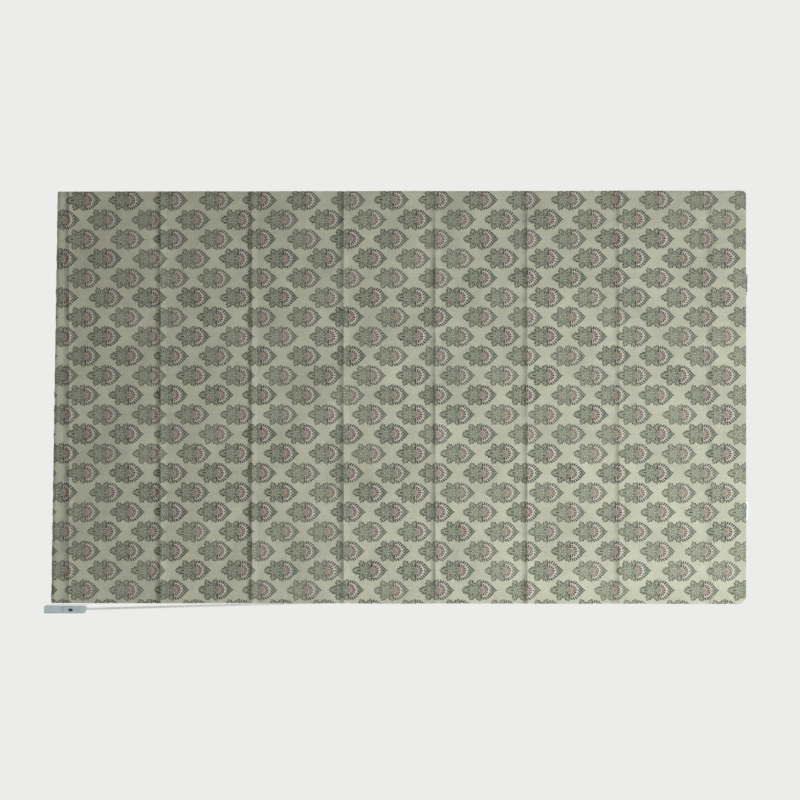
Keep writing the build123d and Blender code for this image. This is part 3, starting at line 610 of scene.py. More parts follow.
@dataclass(frozen=True)
class PlainFinish:
    """What the finishes of one colour share: a name, the colour and how dark its deep tone is."""

    name: str
    colour: Colour
    deep: float = 0.7

    def tinted(self, graph: Graph, value: Term, low: float, high: float) -> Term:
        """Mixes the deep tone and the colour, all deep at the low value and none at the high one."""
        return graph.mix(graph.step(value, low, high), toned(self.colour, self.deep), self.colour)


@dataclass(frozen=True)
class MouldedPlastic(PlainFinish):
    """Moulded plastic with a fine grain, faint flow marks and handling smudges."""

    deep: float = 0.86
    roughness: float = 0.42
    see_through: float = 0.0
    grain: float = 2600.0

    def build(self) -> bpy.types.Material:
        """Builds the material.

        Returns:
            The material.
        """
        graph = Graph.material(self.name)
        place = graph.place()
        flow = graph.noise(graph.scaled(place, (1.0, 1.0, 0.3)), 60.0, 3.0)
        smudge = graph.noise(place, 180.0, 2.0)
        grain = graph.noise(place, self.grain, 2.0)
        return graph.surface(
            Base_Color=self.tinted(graph, flow, 0.2, 0.8),
            Roughness=self.roughness + 0.2 * (smudge - 0.5),
            Normal=graph.bump(grain, strength=0.12, distance=0.0002),
            Transmission_Weight=self.see_through,
            IOR=1.46,
        )


@dataclass(frozen=True)
class DrawnMetal(PlainFinish):
    """Metal with drawing lines along one axis and dull patches."""

    roughness: float = 0.34
    lines: tuple[float, float, float] = (6.0, 1800.0, 1800.0)
    blotches: float = 0.15

    def build(self) -> bpy.types.Material:
        """Builds the material.

        Returns:
            The material.
        """
        graph = Graph.material(self.name)
        place = graph.place()
        drawn = graph.noise(graph.scaled(place, self.lines), 1.0, 3.0)
        dull = graph.noise(place, 90.0, 4.0)
        tone = 0.5 + 0.6 * (drawn - 0.5) + self.blotches * 2.0 * (dull - 0.5)
        return graph.surface(
            Base_Color=self.tinted(graph, tone, 0.1, 0.9),
            Roughness=self.roughness + 0.3 * (drawn - 0.5) + self.blotches * (dull - 0.5),
            Normal=graph.bump(drawn, strength=0.1, distance=0.0001),
            Metallic=1.0,
        )


@dataclass(frozen=True)
class GlassFibre(PlainFinish):
    """Drawn glass-fibre rod: fine streaks along it under a thin skin of resin."""

    deep: float = 0.72
    roughness: float = 0.38
    streaks: tuple[float, float, float] = (5.0, 2400.0, 2400.0)

    def build(self) -> bpy.types.Material:
        """Builds the material.

        Returns:
            The material.
        """
        graph = Graph.material(self.name)
        place = graph.place()
        streak = graph.noise(graph.scaled(place, self.streaks), 1.0, 3.0)
        skin = graph.noise(place, 120.0, 3.0)
        return graph.surface(
            Base_Color=self.tinted(graph, streak, 0.25, 0.75),
            Roughness=self.roughness + 0.25 * (skin - 0.5),
            Normal=graph.bump(streak, strength=0.15, distance=0.0001),
            Coat_Weight=0.3,
        )


@dataclass(frozen=True)
class Enamel(PlainFinish):
    """Baked white paint on a rolled rail, with a slight peel and patches of dust."""

    deep: float = 0.88
    roughness: float = 0.36

    def build(self) -> bpy.types.Material:
        """Builds the material.

        Returns:
            The material.
        """
        graph = Graph.material(self.name)
        place = graph.place()
        peel = graph.noise(place, 420.0, 2.0)
        dust = graph.noise(place, 45.0, 4.0)
        return graph.surface(
            Base_Color=self.tinted(graph, dust, 0.25, 0.75),
            Roughness=self.roughness + 0.25 * (dust - 0.5),
            Normal=graph.bump(peel, strength=0.08, distance=0.0003),
            Coat_Weight=0.2,
        )


@dataclass(frozen=True)
class WovenTape(PlainFinish):
    """Narrow woven tape: ribs across its length and a slightly uneven white."""

    deep: float = 0.74
    rib: float = 0.0011

    def build(self) -> bpy.types.Material:
        """Builds the material.

        Returns:
            The material.
        """
        graph = Graph.material(self.name)
        place = graph.place()
        x, y, z = graph.split(place)
        rib = graph.math("SINE", x * (2 * math.pi / self.rib))
        cross = graph.math("SINE", (y + z) * (2 * math.pi / self.rib))
        fuzz = graph.noise(place, 900.0, 3.0)
        tone = 0.5 + 0.22 * rib * cross + 0.7 * (fuzz - 0.5)
        return graph.surface(
            Base_Color=self.tinted(graph, tone, 0.0, 1.0),
            Roughness=0.85 + 0.1 * (fuzz - 0.5),
            Normal=graph.bump(rib * cross + fuzz, strength=0.3, distance=0.0002),
            Sheen_Weight=0.15,
        )


@dataclass(frozen=True)
class BraidedCord(PlainFinish):
    """Braided polyester: two crossing sets of strands round a thin cord."""

    pitch: float = 0.0024

    def build(self) -> bpy.types.Material:
        """Builds the material.

        Returns:
            The material.
        """
        graph = Graph.material(self.name)
        x, _, z = graph.split(graph.place())
        lay = 2 * math.pi / self.pitch
        left = graph.math("SINE", (z + x) * lay)
        right = graph.math("SINE", (z - x) * lay)
        braid = left * right
        return graph.surface(
            Base_Color=self.tinted(graph, braid, -0.8, 0.8),
            Roughness=0.7 - 0.12 * braid,
            Normal=graph.bump(braid, strength=0.4, distance=0.0002),
            Sheen_Weight=0.1,
        )


class Finish(Enum):
    """The finishes of the shade, each built once."""

    COTTON = PrintedCotton("printed_cotton", paint(191, 189, 167))
    REVERSE = PrintedCotton("cotton_reverse", paint(190, 190, 174), strength=0.25)
    THREAD = BraidedCord("sewing_thread", paint(176, 176, 160), pitch=0.001)
    TAPE = WovenTape("pocket_tape", paint(226, 224, 214))
    HOOKS = WovenTape("hook_and_loop", paint(232, 231, 226), rib=0.0016)
    CORD = BraidedCord("lift_cord", paint(234, 232, 224))
    RAIL = Enamel("rail_enamel", paint(232, 232, 228))
    ENDS = MouldedPlastic("end_plastic", paint(230, 230, 226))
    DRIVE = MouldedPlastic("drive_plastic", paint(226, 227, 224), roughness=0.38)
    SPOOL = MouldedPlastic("spool_plastic", paint(214, 212, 202), roughness=0.46)
    CLEAR = MouldedPlastic("clear_plastic", paint(226, 232, 230), roughness=0.22, see_through=0.7)
    HOLDER = MouldedPlastic("holder_plastic", paint(206, 218, 217), roughness=0.3)
    BEADS = MouldedPlastic("bead_plastic", paint(222, 224, 220), roughness=0.26)
    GLASS_ROD = GlassFibre("glass_fibre", paint(218, 218, 202))
    SPRING = DrawnMetal("spring_steel", paint(150, 152, 154), roughness=0.3)
    SHAFT = DrawnMetal("shaft_steel", paint(176, 178, 180), roughness=0.32)
    ALUMINIUM = DrawnMetal("mill_aluminium", paint(200, 202, 204), roughness=0.36)
    ZINC = DrawnMetal("zinc_plate", paint(188, 190, 192), lines=(120.0, 120.0, 120.0), blotches=0.35)

    @cache
    def material(self) -> bpy.types.Material:
        """Gives the built material, made on first use."""
        return self.value.build()


def mesh_object(
    name: str,
    points: Sequence[Vector],
    faces: Sequence[Sequence[int]],
    *finishes: Finish,
) -> bpy.types.Object:
    """Makes a mesh object with smooth shading.

    Args:
        name: the object's name.
        points: its vertices.
        faces: its faces, as vertex numbers.
        finishes: one finish for each material slot.

    Returns:
        The object, linked to the scene.
    """
    mesh = bpy.data.meshes.new(name)
    mesh.from_pydata([tuple(point) for point in points], [], [tuple(face) for face in faces])
    mesh.polygons.foreach_set("use_smooth", [True] * len(mesh.polygons))
    mesh.update()
    made = bpy.data.objects.new(name, mesh)
    bpy.context.scene.collection.objects.link(made)
    for finish in finishes:
        mesh.materials.append(finish.material())
    return made


def grid_faces(rows: int, columns: int, start: int = 0, closed: bool = False) -> list[tuple[int, ...]]:
    """Numbers the quads of a grid of points.

    Args:
        rows: rows of points.
        columns: points in a row.
        start: number of the first point.
        closed: whether each row joins up with its own start.

    Returns:
        The quads.
    """
    faces = []
    for row in range(rows - 1):
        for column in range(columns if closed else columns - 1):
            after = (column + 1) % columns
            low, high = start + row * columns, start + (row + 1) * columns
            faces.append((low + column, high + column, high + after, low + after))
    return faces


def apply_modifiers(piece: bpy.types.Object) -> None:
    """Makes the result of a piece's modifiers its mesh.

    Args:
        piece: the piece to change.
    """
    graph = bpy.context.evaluated_depsgraph_get()
    mesh = bpy.data.meshes.new_from_object(piece.evaluated_get(graph))
    piece.modifiers.clear()
    piece.data = mesh


def thicken(piece: bpy.types.Object, thickness: float, reverse_slot: int = 0) -> None:
    """Gives a sheet its thickness, inwards from its outer face.

    Args:
        piece: the sheet.
        thickness: its thickness.
        reverse_slot: how many material slots on the inner face's finish is.
    """
    shell = piece.modifiers.new("thickness", "SOLIDIFY")
    shell.thickness = thickness
    shell.offset = -1.0
    shell.use_even_offset = False
    shell.material_offset = reverse_slot
    apply_modifiers(piece)


def middle(node: str) -> Vector:
    """Gives the middle of a node's box."""
    low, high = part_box(node)
    return (Vector(low) + Vector(high)) / 2


def add_tube(
    points: list[Vector],
    faces: list[tuple[int, ...]],
    path: Sequence[Vector],
    radius: float,
    sides: int,
) -> None:
    """Adds an open tube to a mesh in the making.

    Args:
        points, faces: the mesh's points and faces, which the tube's are added to.
        path: the tube's middle line.
        radius: its radius.
        sides: points in each ring round it.
    """
    faces.extend(grid_faces(len(path), sides, len(points), closed=True))
    for index, centre in enumerate(path):
        ahead = path[min(index + 1, len(path) - 1)] - path[max(index - 1, 0)]
        ahead.normalize()
        across = ahead.orthogonal().normalized() if abs(ahead.x) > 0.9 else Vector((1, 0, 0)).cross(ahead)
        across.normalize()
        other = ahead.cross(across)
        for side in range(sides):
            turn = 2 * math.pi * side / sides
            points.append(centre + (across * math.cos(turn) + other * math.sin(turn)) * radius)


@dataclass
class ShadeLines:
    """The places that the cloth, rods and cords share, read from the frame."""

    rod_count: int = 6
    hem_skew: float = 14 * MM
    hem_waver: float = 1.4 * MM
    hem_waver_rate: float = 55.0
    cloth_depth: float = 0.9 * MM
    rods: list[Vector] = field(init=False)
    top: float = field(init=False)
    rail_foot: float = field(init=False)
    back_top: float = field(init=False)
    lean: float = field(init=False)
    half_width: float = field(init=False)
    rod_reach: float = field(init=False)
    hem_low: float = field(init=False)

    def __post_init__(self) -> None:
        """Reads the frame."""
        low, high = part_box("face_fabric")
        self.half_width = (high[0] - low[0]) / 2
        self.top = high[2]
        self.hem_low = low[2]
        self.rail_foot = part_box("headrail")[0][2]
        self.back_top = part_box("loop_tape")[0][1]
        self.rod_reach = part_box("rod_caps_1")[1][0]
        self.rods = [middle(f"rod_{number}") for number in range(1, self.rod_count + 1)]
        first, last = self.rods[0], self.rods[-1]
        self.lean = (last.y - first.y) / (last.z - first.z)

    def back_y(self, z: float) -> float:
        """Gives the depth of the cloth's back at a height."""
        return self.back_top + self.lean * (min(z, self.rail_foot) - self.rail_foot)

    def hem_z(self, x: float) -> float:
        """Gives the height of the hem's edge at a place across the width."""
        slope = self.hem_skew * (self.half_width - x) / (2 * self.half_width)
        return self.hem_low + slope + self.hem_waver * noise.noise(Vector((x * self.hem_waver_rate, 0, 0)))


class RowKind(Enum):
    """Where a row of cloth points lies."""

    FRONT = "front"
    TURN = "turn"
    REAR = "rear"


@dataclass
class FaceCloth:
    """The printed cloth: one panel between each pair of rods, with turned side hems and a hem pocket."""

    lines: ShadeLines
    thickness: float = 0.45 * MM
    side_hem: float = 28 * MM
    side_turn: float = 0.32 * MM
    column_step: float = 6 * MM
    row_step: float = 9 * MM
    ridge_rise: float = 1.05 * MM
    ridge_above: float = 14 * MM
    ridge_below: float = 9 * MM
    ridge_end: float = 8 * MM
    ridge_curve: float = 1.6
    pucker: float = 0.25 * MM
    pucker_reach: float = 24 * MM
    pucker_clear: tuple[float, float] = (9 * MM, 5 * MM)
    pucker_ease: float = 6 * MM
    pucker_least: float = 0.02
    ripple_rates: tuple[float, float, float] = (24.0, 5.3, 14.0)
    fine_rates: tuple[float, float, float] = (75.0, 3.7, 30.0)
    fine_share: float = 0.35
    edge_waver: float = 0.7 * MM
    edge_rate: float = 6.0
    edge_starts: tuple[float, float] = (9.0, 3.0)
    sway: float = 0.45 * MM
    sway_waves: tuple[tuple[float, float, float], ...] = ((1.0, 7.3, 0.8), (0.6, 15.1, 2.1))
    sway_fade: float = 110 * MM
    billow: float = 1.0 * MM
    seam_rise: float = 54 * MM
    shoulder_rise: float = 38 * MM
    hem_depth: float = 6.4 * MM
    seam_depth: float = 2.0 * MM
    seam_inset: float = 2 * MM
    hem_steps: int = 5
    bend_steps: int = 4
    turn_steps: int = 8
    end_rows: tuple[float, ...] = (0.0, 1.2 * MM, 2.6 * MM, 4.4 * MM, 6.8 * MM, 9.8 * MM, 14 * MM)
    corner_cuts: tuple[float, float] = (6 * MM, 11 * MM)
    stitch_length: float = 3.0 * MM
    stitch_pitch: float = 4.0 * MM
    stitch_radius: float = 0.2 * MM
    stitch_margin: float = 6 * MM
    stitch_sides: int = 5
    stitch_arc: tuple[tuple[float, float], ...] = (
        (-0.5, 0.25 * MM),
        (-0.25, -0.15 * MM),
        (0.25, -0.15 * MM),
        (0.5, 0.25 * MM),
    )
    rod_stitch_rise: float = 6 * MM
    held_above_rod: float = 8 * MM

    def build(self) -> list[bpy.types.Object]:
        """Builds every panel and every row of stitches.

        Returns:
            The pieces.
        """
        lines = self.lines
        edges = [lines.top] + [rod.z for rod in lines.rods]
        bodies = ["head"] + [f"rod_set_{number}" for number in range(1, lines.rod_count + 1)]
        pieces = []
        for number in range(1, lines.rod_count + 1):
            above, below = edges[number - 1], edges[number]
            rows = [(RowKind.FRONT, height) for height in self.heights(above, below)]
            panel = self.panel(f"cloth_panel_{number}", rows)
            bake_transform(panel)
            row = self.stitches(f"rod_stitches_{number}", lambda x: below + self.rod_stitch_rise)
            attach(row, bodies[number])
            pieces += [panel, row]
        pieces += self.hem_panel(edges[-1])
        for piece in pieces[::2]:
            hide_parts("face_fabric")
        return pieces

    def hem_panel(self, above: float) -> list[bpy.types.Object]:
        """Builds the lowest panel, turned up behind into the bar's pocket, and its seam.

        Args:
            above: the height of the last rod.

        Returns:
            The panel and its row of stitches.
        """
        lines = self.lines
        middle_hem = lines.hem_z(0)
        radius = self.hem_depth / 2
        shoulder, count = self.shoulder_rise, self.hem_steps
        rows = [(RowKind.FRONT, height) for height in self.heights(above, middle_hem + radius)]
        rows += [(RowKind.TURN, math.pi * step / self.turn_steps) for step in range(1, self.turn_steps)]
        rises = [radius + (shoulder - radius) * step / count for step in range(count + 1)]
        rises += [shoulder + (self.seam_rise - shoulder) * step / count for step in range(1, count + 1)]
        rows += [(RowKind.REAR, rise) for rise in rises]
        panel = self.panel("cloth_panel_hem", rows, (above, middle_hem + radius))
        seam = middle_hem + self.seam_rise
        start = (above + seam) / 2
        Vector((0, 0, seam + self.held_above_rod))
        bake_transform(panel)
        length = above - middle_hem + self.seam_rise + radius
        row = self.stitches("hem_stitches", lambda x: lines.hem_z(x) + self.seam_rise - self.seam_inset)
        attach(row, "hem_bar")
        return [panel, row]

    def heights(self, above: float, below: float) -> list[float]:
        """Gives the heights of a panel's rows, closer together near its ends.

        Args:
            above, below: the heights that the panel lies between.

        Returns:
            The heights, from the highest.
        """
        *near, last = self.end_rows
        span = above - below
        inner = max(2, round((span - 2 * last) / self.row_step))
        offsets = near + [last + (span - 2 * last) * step / inner for step in range(inner + 1)]
        offsets += [span - offset for offset in reversed(near)]
        return [above - offset for offset in offsets]

    def stations(self) -> list[tuple[float, float, float]]:
        """Gives the points across a row, from the end of the left side hem to the end of the right one.

        Returns:
            Each point's place, depth inwards and place along the cut cloth.
        """
        half, turn = self.lines.half_width, self.side_turn
        hem = []
        for step in range(self.hem_steps, -1, -1):
            inwards = (self.side_hem - turn) * step / self.hem_steps
            hem.append((half - turn - inwards, 2 * turn, half + turn + inwards))
        bend = []
        for step in range(1, self.bend_steps):
            angle = math.pi * step / self.bend_steps
            out, back = turn * math.sin(angle), turn * math.cos(angle)
            bend.append((half - turn + out, turn + back, half + back))
        count = round(2 * (half - turn) / self.column_step)
        front = [(-half + turn) + 2 * (half - turn) * step / count for step in range(count + 1)]
        left = [(-place, depth, -cut) for place, depth, cut in hem + bend]
        right = [(place, depth, cut) for place, depth, cut in reversed(hem + bend)]
        return left + [(place, 0.0, place) for place in front] + right

    def front_y(self, x: float, z: float) -> float:
        """Gives the depth of the cloth's face, whose ridges stay low so that raised folds clear one another.

        Args:
            x, z: the place on the face.

        Returns:
            The depth.
        """
        lines = self.lines
        y = lines.back_y(z) - lines.cloth_depth
        wave = sum(size * (math.sin(rate * x + start) + 1) for size, rate, start in self.sway_waves)
        seam = lines.hem_low + self.seam_rise
        y -= self.sway * wave * min(1.0, max(0.0, (z - seam) / self.sway_fade))
        edges = [lines.top] + [rod.z for rod in lines.rods] + [seam]
        for above, below in zip(edges, edges[1:]):
            if below < z < above:
                y -= self.billow * math.sin(math.pi * (above - z) / (above - below)) ** 2
        for number, rod in enumerate(lines.rods):
            gap = z - rod.z
            reach = self.ridge_above if gap > 0 else self.ridge_below
            if abs(gap) < reach:
                end = min(1.0, max(0.0, (lines.rod_reach - abs(x)) / self.ridge_end))
                y -= self.ridge_rise * end * (1 - abs(gap) / reach) ** self.ridge_curve
            fade = math.exp(-abs(gap) / self.pucker_reach)
            free = max(gap - self.pucker_clear[0], -gap - self.pucker_clear[1])
            if fade > self.pucker_least and free > 0:
                ripple, fine = (
                    noise.noise(Vector((x * rates[0], number * rates[1], gap * rates[2])))
                    for rates in (self.ripple_rates, self.fine_rates)
                )
                depth = self.pucker * fade * max(0.0, 0.5 + ripple + self.fine_share * fine)
                y += depth * min(1.0, free / self.pucker_ease)
        return y

    def trimmed(self, x: float, drop: float) -> float:
        """Moves a place inwards where a top corner is cut.

        Args:
            x: the place across the width.
            drop: how far it is below the top edge.

        Returns:
            The moved place.
        """
        half = self.lines.half_width
        cut = self.corner_cuts[1] if x > 0 else self.corner_cuts[0]
        lost = max(0.0, cut - drop)
        zone = self.side_hem + 2 * self.side_turn
        beyond = abs(x) - (half - zone)
        if lost == 0 or beyond <= 0:
            return x
        return math.copysign(half - zone + beyond * (zone - lost) / zone, x)

    def point(
        self,
        station: tuple[float, float, float],
        row: tuple[RowKind, float],
        span: tuple[float, float] | None,
    ) -> tuple[Vector, Vector]:
        """Gives one point of a panel and its place on the cut cloth.

        Args:
            station: place across, depth inwards and place along the cut cloth.
            row: the row's kind and its height, angle or rise.
            span: the upper and lower height that a slanting panel is stretched between.

        Returns:
            The point and the place on the cut cloth.
        """
        lines = self.lines
        x, depth, cut = station
        kind, value = row
        hem = lines.hem_z(x)
        radius = self.hem_depth / 2
        if kind is RowKind.FRONT:
            z = value
            if span is not None:
                share = (span[0] - value) / (span[0] - span[1])
                z = span[0] + share * (hem + radius - span[0])
            drop = lines.top - z
            x = self.trimmed(x, drop)
            waver = noise.noise(Vector((self.edge_starts[x > 0], 0, z * self.edge_rate)))
            edge = self.edge_waver * waver * abs(x) / lines.half_width
            return Vector((x + edge, self.front_y(x, z) + depth, z)), Vector((cut, drop, 0))
        face = self.front_y(x, hem + radius)
        low = lines.top - hem
        if kind is RowKind.TURN:
            inside = radius - depth
            y = face + radius - inside * math.cos(value)
            z = hem + radius - inside * math.sin(value)
            return Vector((x, y, z)), Vector((cut, low - radius + value * radius, 0))
        taper = max(0.0, value - self.shoulder_rise) / (self.seam_rise - self.shoulder_rise)
        reach = self.hem_depth - taper * (self.hem_depth - self.seam_depth) - depth
        lean = lines.back_y(hem + value) - lines.back_y(hem + radius)
        return Vector((x, face + lean + reach, hem + value)), Vector((cut, low + value, 0))

    def panel(
        self, name: str, rows: Sequence[tuple[RowKind, float]], span: tuple[float, float] | None = None,
    ) -> bpy.types.Object:
        """Builds one panel as a sheet with thickness, its places on the cut cloth kept as an attribute.

        Args:
            name: the panel's name.
            rows: each row's kind and its height, angle or rise.
            span: the upper and lower height that a slanting panel is stretched between.

        Returns:
            The panel.
        """
        stations = self.stations()
        pairs = [self.point(station, row, span) for row in rows for station in stations]
        faces = grid_faces(len(rows), len(stations))
        made = mesh_object(name, [pair[0] for pair in pairs], faces, Finish.COTTON, Finish.REVERSE)
        places = made.data.attributes.new(PLACE, "FLOAT_VECTOR", "POINT")
        places.data.foreach_set("vector", [part for pair in pairs for part in pair[1]])
        thicken(made, self.thickness, 1)
        log.info("%s: %d faces", name, len(made.data.polygons))
        return made

    def stitches(self, name: str, height: Callable[[float], float]) -> bpy.types.Object:
        """Builds a row of thread stitches on the face of the cloth.

        Args:
            name: the row's name.
            height: gives the row's height at a place across the width.

        Returns:
            The row.
        """
        half = self.lines.half_width - self.stitch_margin
        points: list[Vector] = []
        faces: list[tuple[int, ...]] = []
        for number in range(int(2 * half / self.stitch_pitch)):
            x = -half + (number + 0.5) * self.stitch_pitch
            z = height(x)
            path = []
            for share, sink in self.stitch_arc:
                place = x + share * self.stitch_length
                path.append(Vector((place, self.front_y(place, z) + sink, z)))
            add_tube(points, faces, path, self.stitch_radius, self.stitch_sides)
        return mesh_object(name, points, faces, Finish.THREAD)


@dataclass
class RodPockets:
    """The tape sleeves sewn behind the cloth, one round each rod."""

    lines: ShadeLines
    wall: float = 0.8 * MM
    flange: float = 8 * MM
    stand_off: float = 0.3 * MM
    step: float = 8 * MM
    drape: float = 0.2 * MM
    drape_rates: tuple[float, float] = (40.0, 3.1)
    turn_steps: int = 22

    def build(self) -> list[bpy.types.Object]:
        """Builds the sleeves.

        Returns:
            The sleeves.
        """
        made = []
        for number, rod in enumerate(self.lines.rods, start=1):
            low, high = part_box(f"rod_pocket_{number}")
            bore = high[1] - rod.y - self.wall
            tape_y = self.lines.back_y(rod.z) + self.stand_off + self.wall - rod.y
            path = self.section(bore, tape_y)
            count = round((high[0] - low[0]) / self.step)
            points = []
            for column in range(count + 1):
                x = low[0] + (high[0] - low[0]) * column / count
                spot = Vector((x * self.drape_rates[0], number * self.drape_rates[1], 0))
                slack = self.drape * noise.noise(spot)
                points += [Vector((x, rod.y + y + slack * (z > bore), rod.z + z)) for y, z in path]
            faces = grid_faces(count + 1, len(path))
            sleeve = mesh_object(f"rod_sleeve_{number}", points, faces, Finish.TAPE)
            thicken(sleeve, self.wall)
            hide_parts(f"rod_pocket_{number}")
            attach(sleeve, f"rod_set_{number}")
            made.append(sleeve)
        return made

    def section(self, bore: float, tape_y: float) -> list[tuple[float, float]]:
        """Gives the inner face of the sleeve's section: down the flange and once round the rod.

        Args:
            bore: the radius of the sleeve's inner face.
            tape_y: the flange's depth from the rod's middle.

        Returns:
            The section's points, from the rod's middle.
        """
        path = [(tape_y, self.flange * share) for share in (1.0, 0.75, 0.5)]
        lead = math.acos(tape_y / bore)
        for step in range(self.turn_steps + 1):
            angle = lead + 2 * math.pi * step / self.turn_steps
            path.append((bore * math.cos(angle), bore * math.sin(angle)))
        return path


@dataclass
class HeadTapes:
    """The hook and loop tapes that hold the cloth to the rail."""

    step: float = 5 * MM
    rows: int = 8
    inset: float = 0.1 * MM
    pile: float = 0.075 * MM
    pile_rate: float = 300.0

    def build(self) -> list[bpy.types.Object]:
        """Builds both tapes with a pile on the faces that meet.

        Returns:
            The tapes.
        """
        made = []
        for node in ("hook_tape", "loop_tape"):
            low, high = (Vector(corner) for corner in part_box(node))
            columns = round((high.x - low.x) / self.step)
            points = []
            for row in range(self.rows + 1):
                for column in range(columns + 1):
                    x = low.x + (high.x - low.x) * column / columns
                    z = high.z + (low.z - high.z) * row / self.rows
                    pile = self.pile * noise.noise(Vector((x * self.pile_rate, z * self.pile_rate, 0)))
                    points.append(Vector((x, low.y + self.inset + pile, z)))
            tape = mesh_object(f"{node}_weave", points, grid_faces(self.rows + 1, columns + 1), Finish.HOOKS)
            thicken(tape, high.y - low.y - 2 * self.inset)
            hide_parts(node)
            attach(tape, "head")
            made.append(tape)
        return made


@dataclass
class LiftCords:
    """Three thin braided cords from the spools through the rings to the toggles."""

    lines: ShadeLines
    sides: int = 8
    travel: float = 1298.2 * MM
    tail: float = 10 * MM
    seam: float = 0.2 * MM
    rings: int = 40

    def build(self) -> list[bpy.types.Object]:
        """Builds the cords and the ends in the toggles.

        Returns:
            The cords and their ends.
        """
        made = []
        foot = self.lines.rail_foot
        for side in ("left", "centre", "right"):
            low, high = (Vector(corner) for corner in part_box(f"lift_cord_{side}"))
            radius = (high.x - low.x) / 2
            start = Vector(((low.x + high.x) / 2, low.y + radius, foot))
            end = Vector((start.x, high.y - radius, low.z))
            join = start.lerp(end, 1 - self.tail / (foot - low.z))
            path = [Vector((start.x, start.y, high.z))]
            path += [start.lerp(join, ring / self.rings) for ring in range(self.rings + 1)]
            cord = self.tube(f"braided_cord_{side}", path, radius)
            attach(cord, "head")
            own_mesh(cord)
            tail = self.tube(f"cord_end_{side}", [join.lerp(end, self.seam / self.tail), end], radius)
            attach(tail, "hem_bar")
            for piece in (cord, tail):
                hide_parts(f"lift_cord_{side}")
            made += [cord, tail]
        return made

    def tube(self, name: str, path: Sequence[Vector], radius: float) -> bpy.types.Object:
        """Builds one closed length of cord.

        Args:
            name: its name.
            path: its middle line.
            radius: its radius.

        Returns:
            The length of cord.
        """
        points: list[Vector] = []
        faces: list[tuple[int, ...]] = []
        add_tube(points, faces, path, radius, self.sides)
        faces += [tuple(range(self.sides)), tuple(range(len(points) - 1, len(points) - 1 - self.sides, -1))]
        return mesh_object(name, points, faces, Finish.CORD)


@dataclass
class BeadChain:
    """The endless bead chain over the drive wheel and round the holder's pulley."""

    pitch: float = 6 * MM
    radius: float = 2.25 * MM
    wheel_width: float = 10 * MM
    wheel_stations: int = 12
    pulley_stations: int = 6
    beads_per_run: int = 237
    cord_radius: float = 0.6 * MM
    cord_sides: int = 5
    rings: int = 7
    sides: int = 10
    collar: float = 0.35

    def build(self) -> list[bpy.types.Object]:
        """Builds the beads and the cord they are moulded on.

        Returns:
            The chain, as the only piece.
        """
        wheel = middle("chain_wheel")
        wheel.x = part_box("chain_wheel")[1][0] - self.wheel_width / 2
        pulley = middle("chain_holder_pulley")
        wheel_radius = self.pitch / 2 / math.sin(math.pi / self.wheel_stations)
        pulley_radius = self.pitch / 2 / math.sin(math.pi / self.pulley_stations)
        places = self.loop(wheel, wheel_radius, pulley, pulley_radius)
        points: list[Vector] = []
        faces: list[tuple[int, ...]] = []
        for index, place in enumerate(places):
            ahead = (places[(index + 1) % len(places)] - places[index - 1]).normalized()
            self.bead(place, ahead, points, faces)
        ring = places + [places[0]]
        add_tube(points, faces, ring, self.cord_radius, self.cord_sides)
        chain = mesh_object("bead_chain_loop", points, faces, Finish.BEADS)
        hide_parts("bead_chain")
        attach(chain, "head")
        log.info("bead_chain_loop: %d beads", len(places))
        return [chain]

    def loop(self, wheel: Vector, wheel_radius: float, pulley: Vector, pulley_radius: float) -> list[Vector]:
        """Gives the middles of the beads in order round the loop.

        Args:
            wheel, pulley: the middles of the two turns.
            wheel_radius, pulley_radius: the radii on which the beads' middles lie.

        Returns:
            The middles.
        """
        rear = [wheel + Vector((0, wheel_radius, 0)), pulley + Vector((0, pulley_radius, 0))]
        front = [pulley - Vector((0, pulley_radius, 0)), wheel - Vector((0, wheel_radius, 0))]
        places = [rear[0].lerp(rear[1], step / self.beads_per_run) for step in range(self.beads_per_run)]
        for step in range(self.pulley_stations // 2):
            turn = 2 * math.pi * step / self.pulley_stations
            places.append(pulley + Vector((0, math.cos(turn), -math.sin(turn))) * pulley_radius)
        places += [front[0].lerp(front[1], step / self.beads_per_run) for step in range(self.beads_per_run)]
        for step in range(self.wheel_stations // 2):
            turn = 2 * math.pi * step / self.wheel_stations
            places.append(wheel + Vector((0, -math.cos(turn), math.sin(turn))) * wheel_radius)
        return places

    def bead(self, place: Vector, ahead: Vector, points: list[Vector], faces: list[tuple[int, ...]]) -> None:
        """Adds one round bead with small moulding collars.

        Args:
            place: its middle.
            ahead: the way the chain runs.
            points, faces: the chain's points and faces, which the bead's are added to.
        """
        across = Vector((1, 0, 0))
        other = ahead.cross(across).normalized()
        start = len(points)
        for ring in range(self.rings):
            angle = math.pi * (ring + self.collar) / (self.rings - 1 + 2 * self.collar)
            for side in range(self.sides):
                turn = 2 * math.pi * side / self.sides
                out = across * math.cos(turn) + other * math.sin(turn)
                points.append(place + (out * math.sin(angle) - ahead * math.cos(angle)) * self.radius)
        faces.extend(grid_faces(self.rings, self.sides, start, closed=True))
        last = start + (self.rings - 1) * self.sides
        faces.append(tuple(start + side for side in range(self.sides)))
        faces.append(tuple(last + side for side in reversed(range(self.sides))))


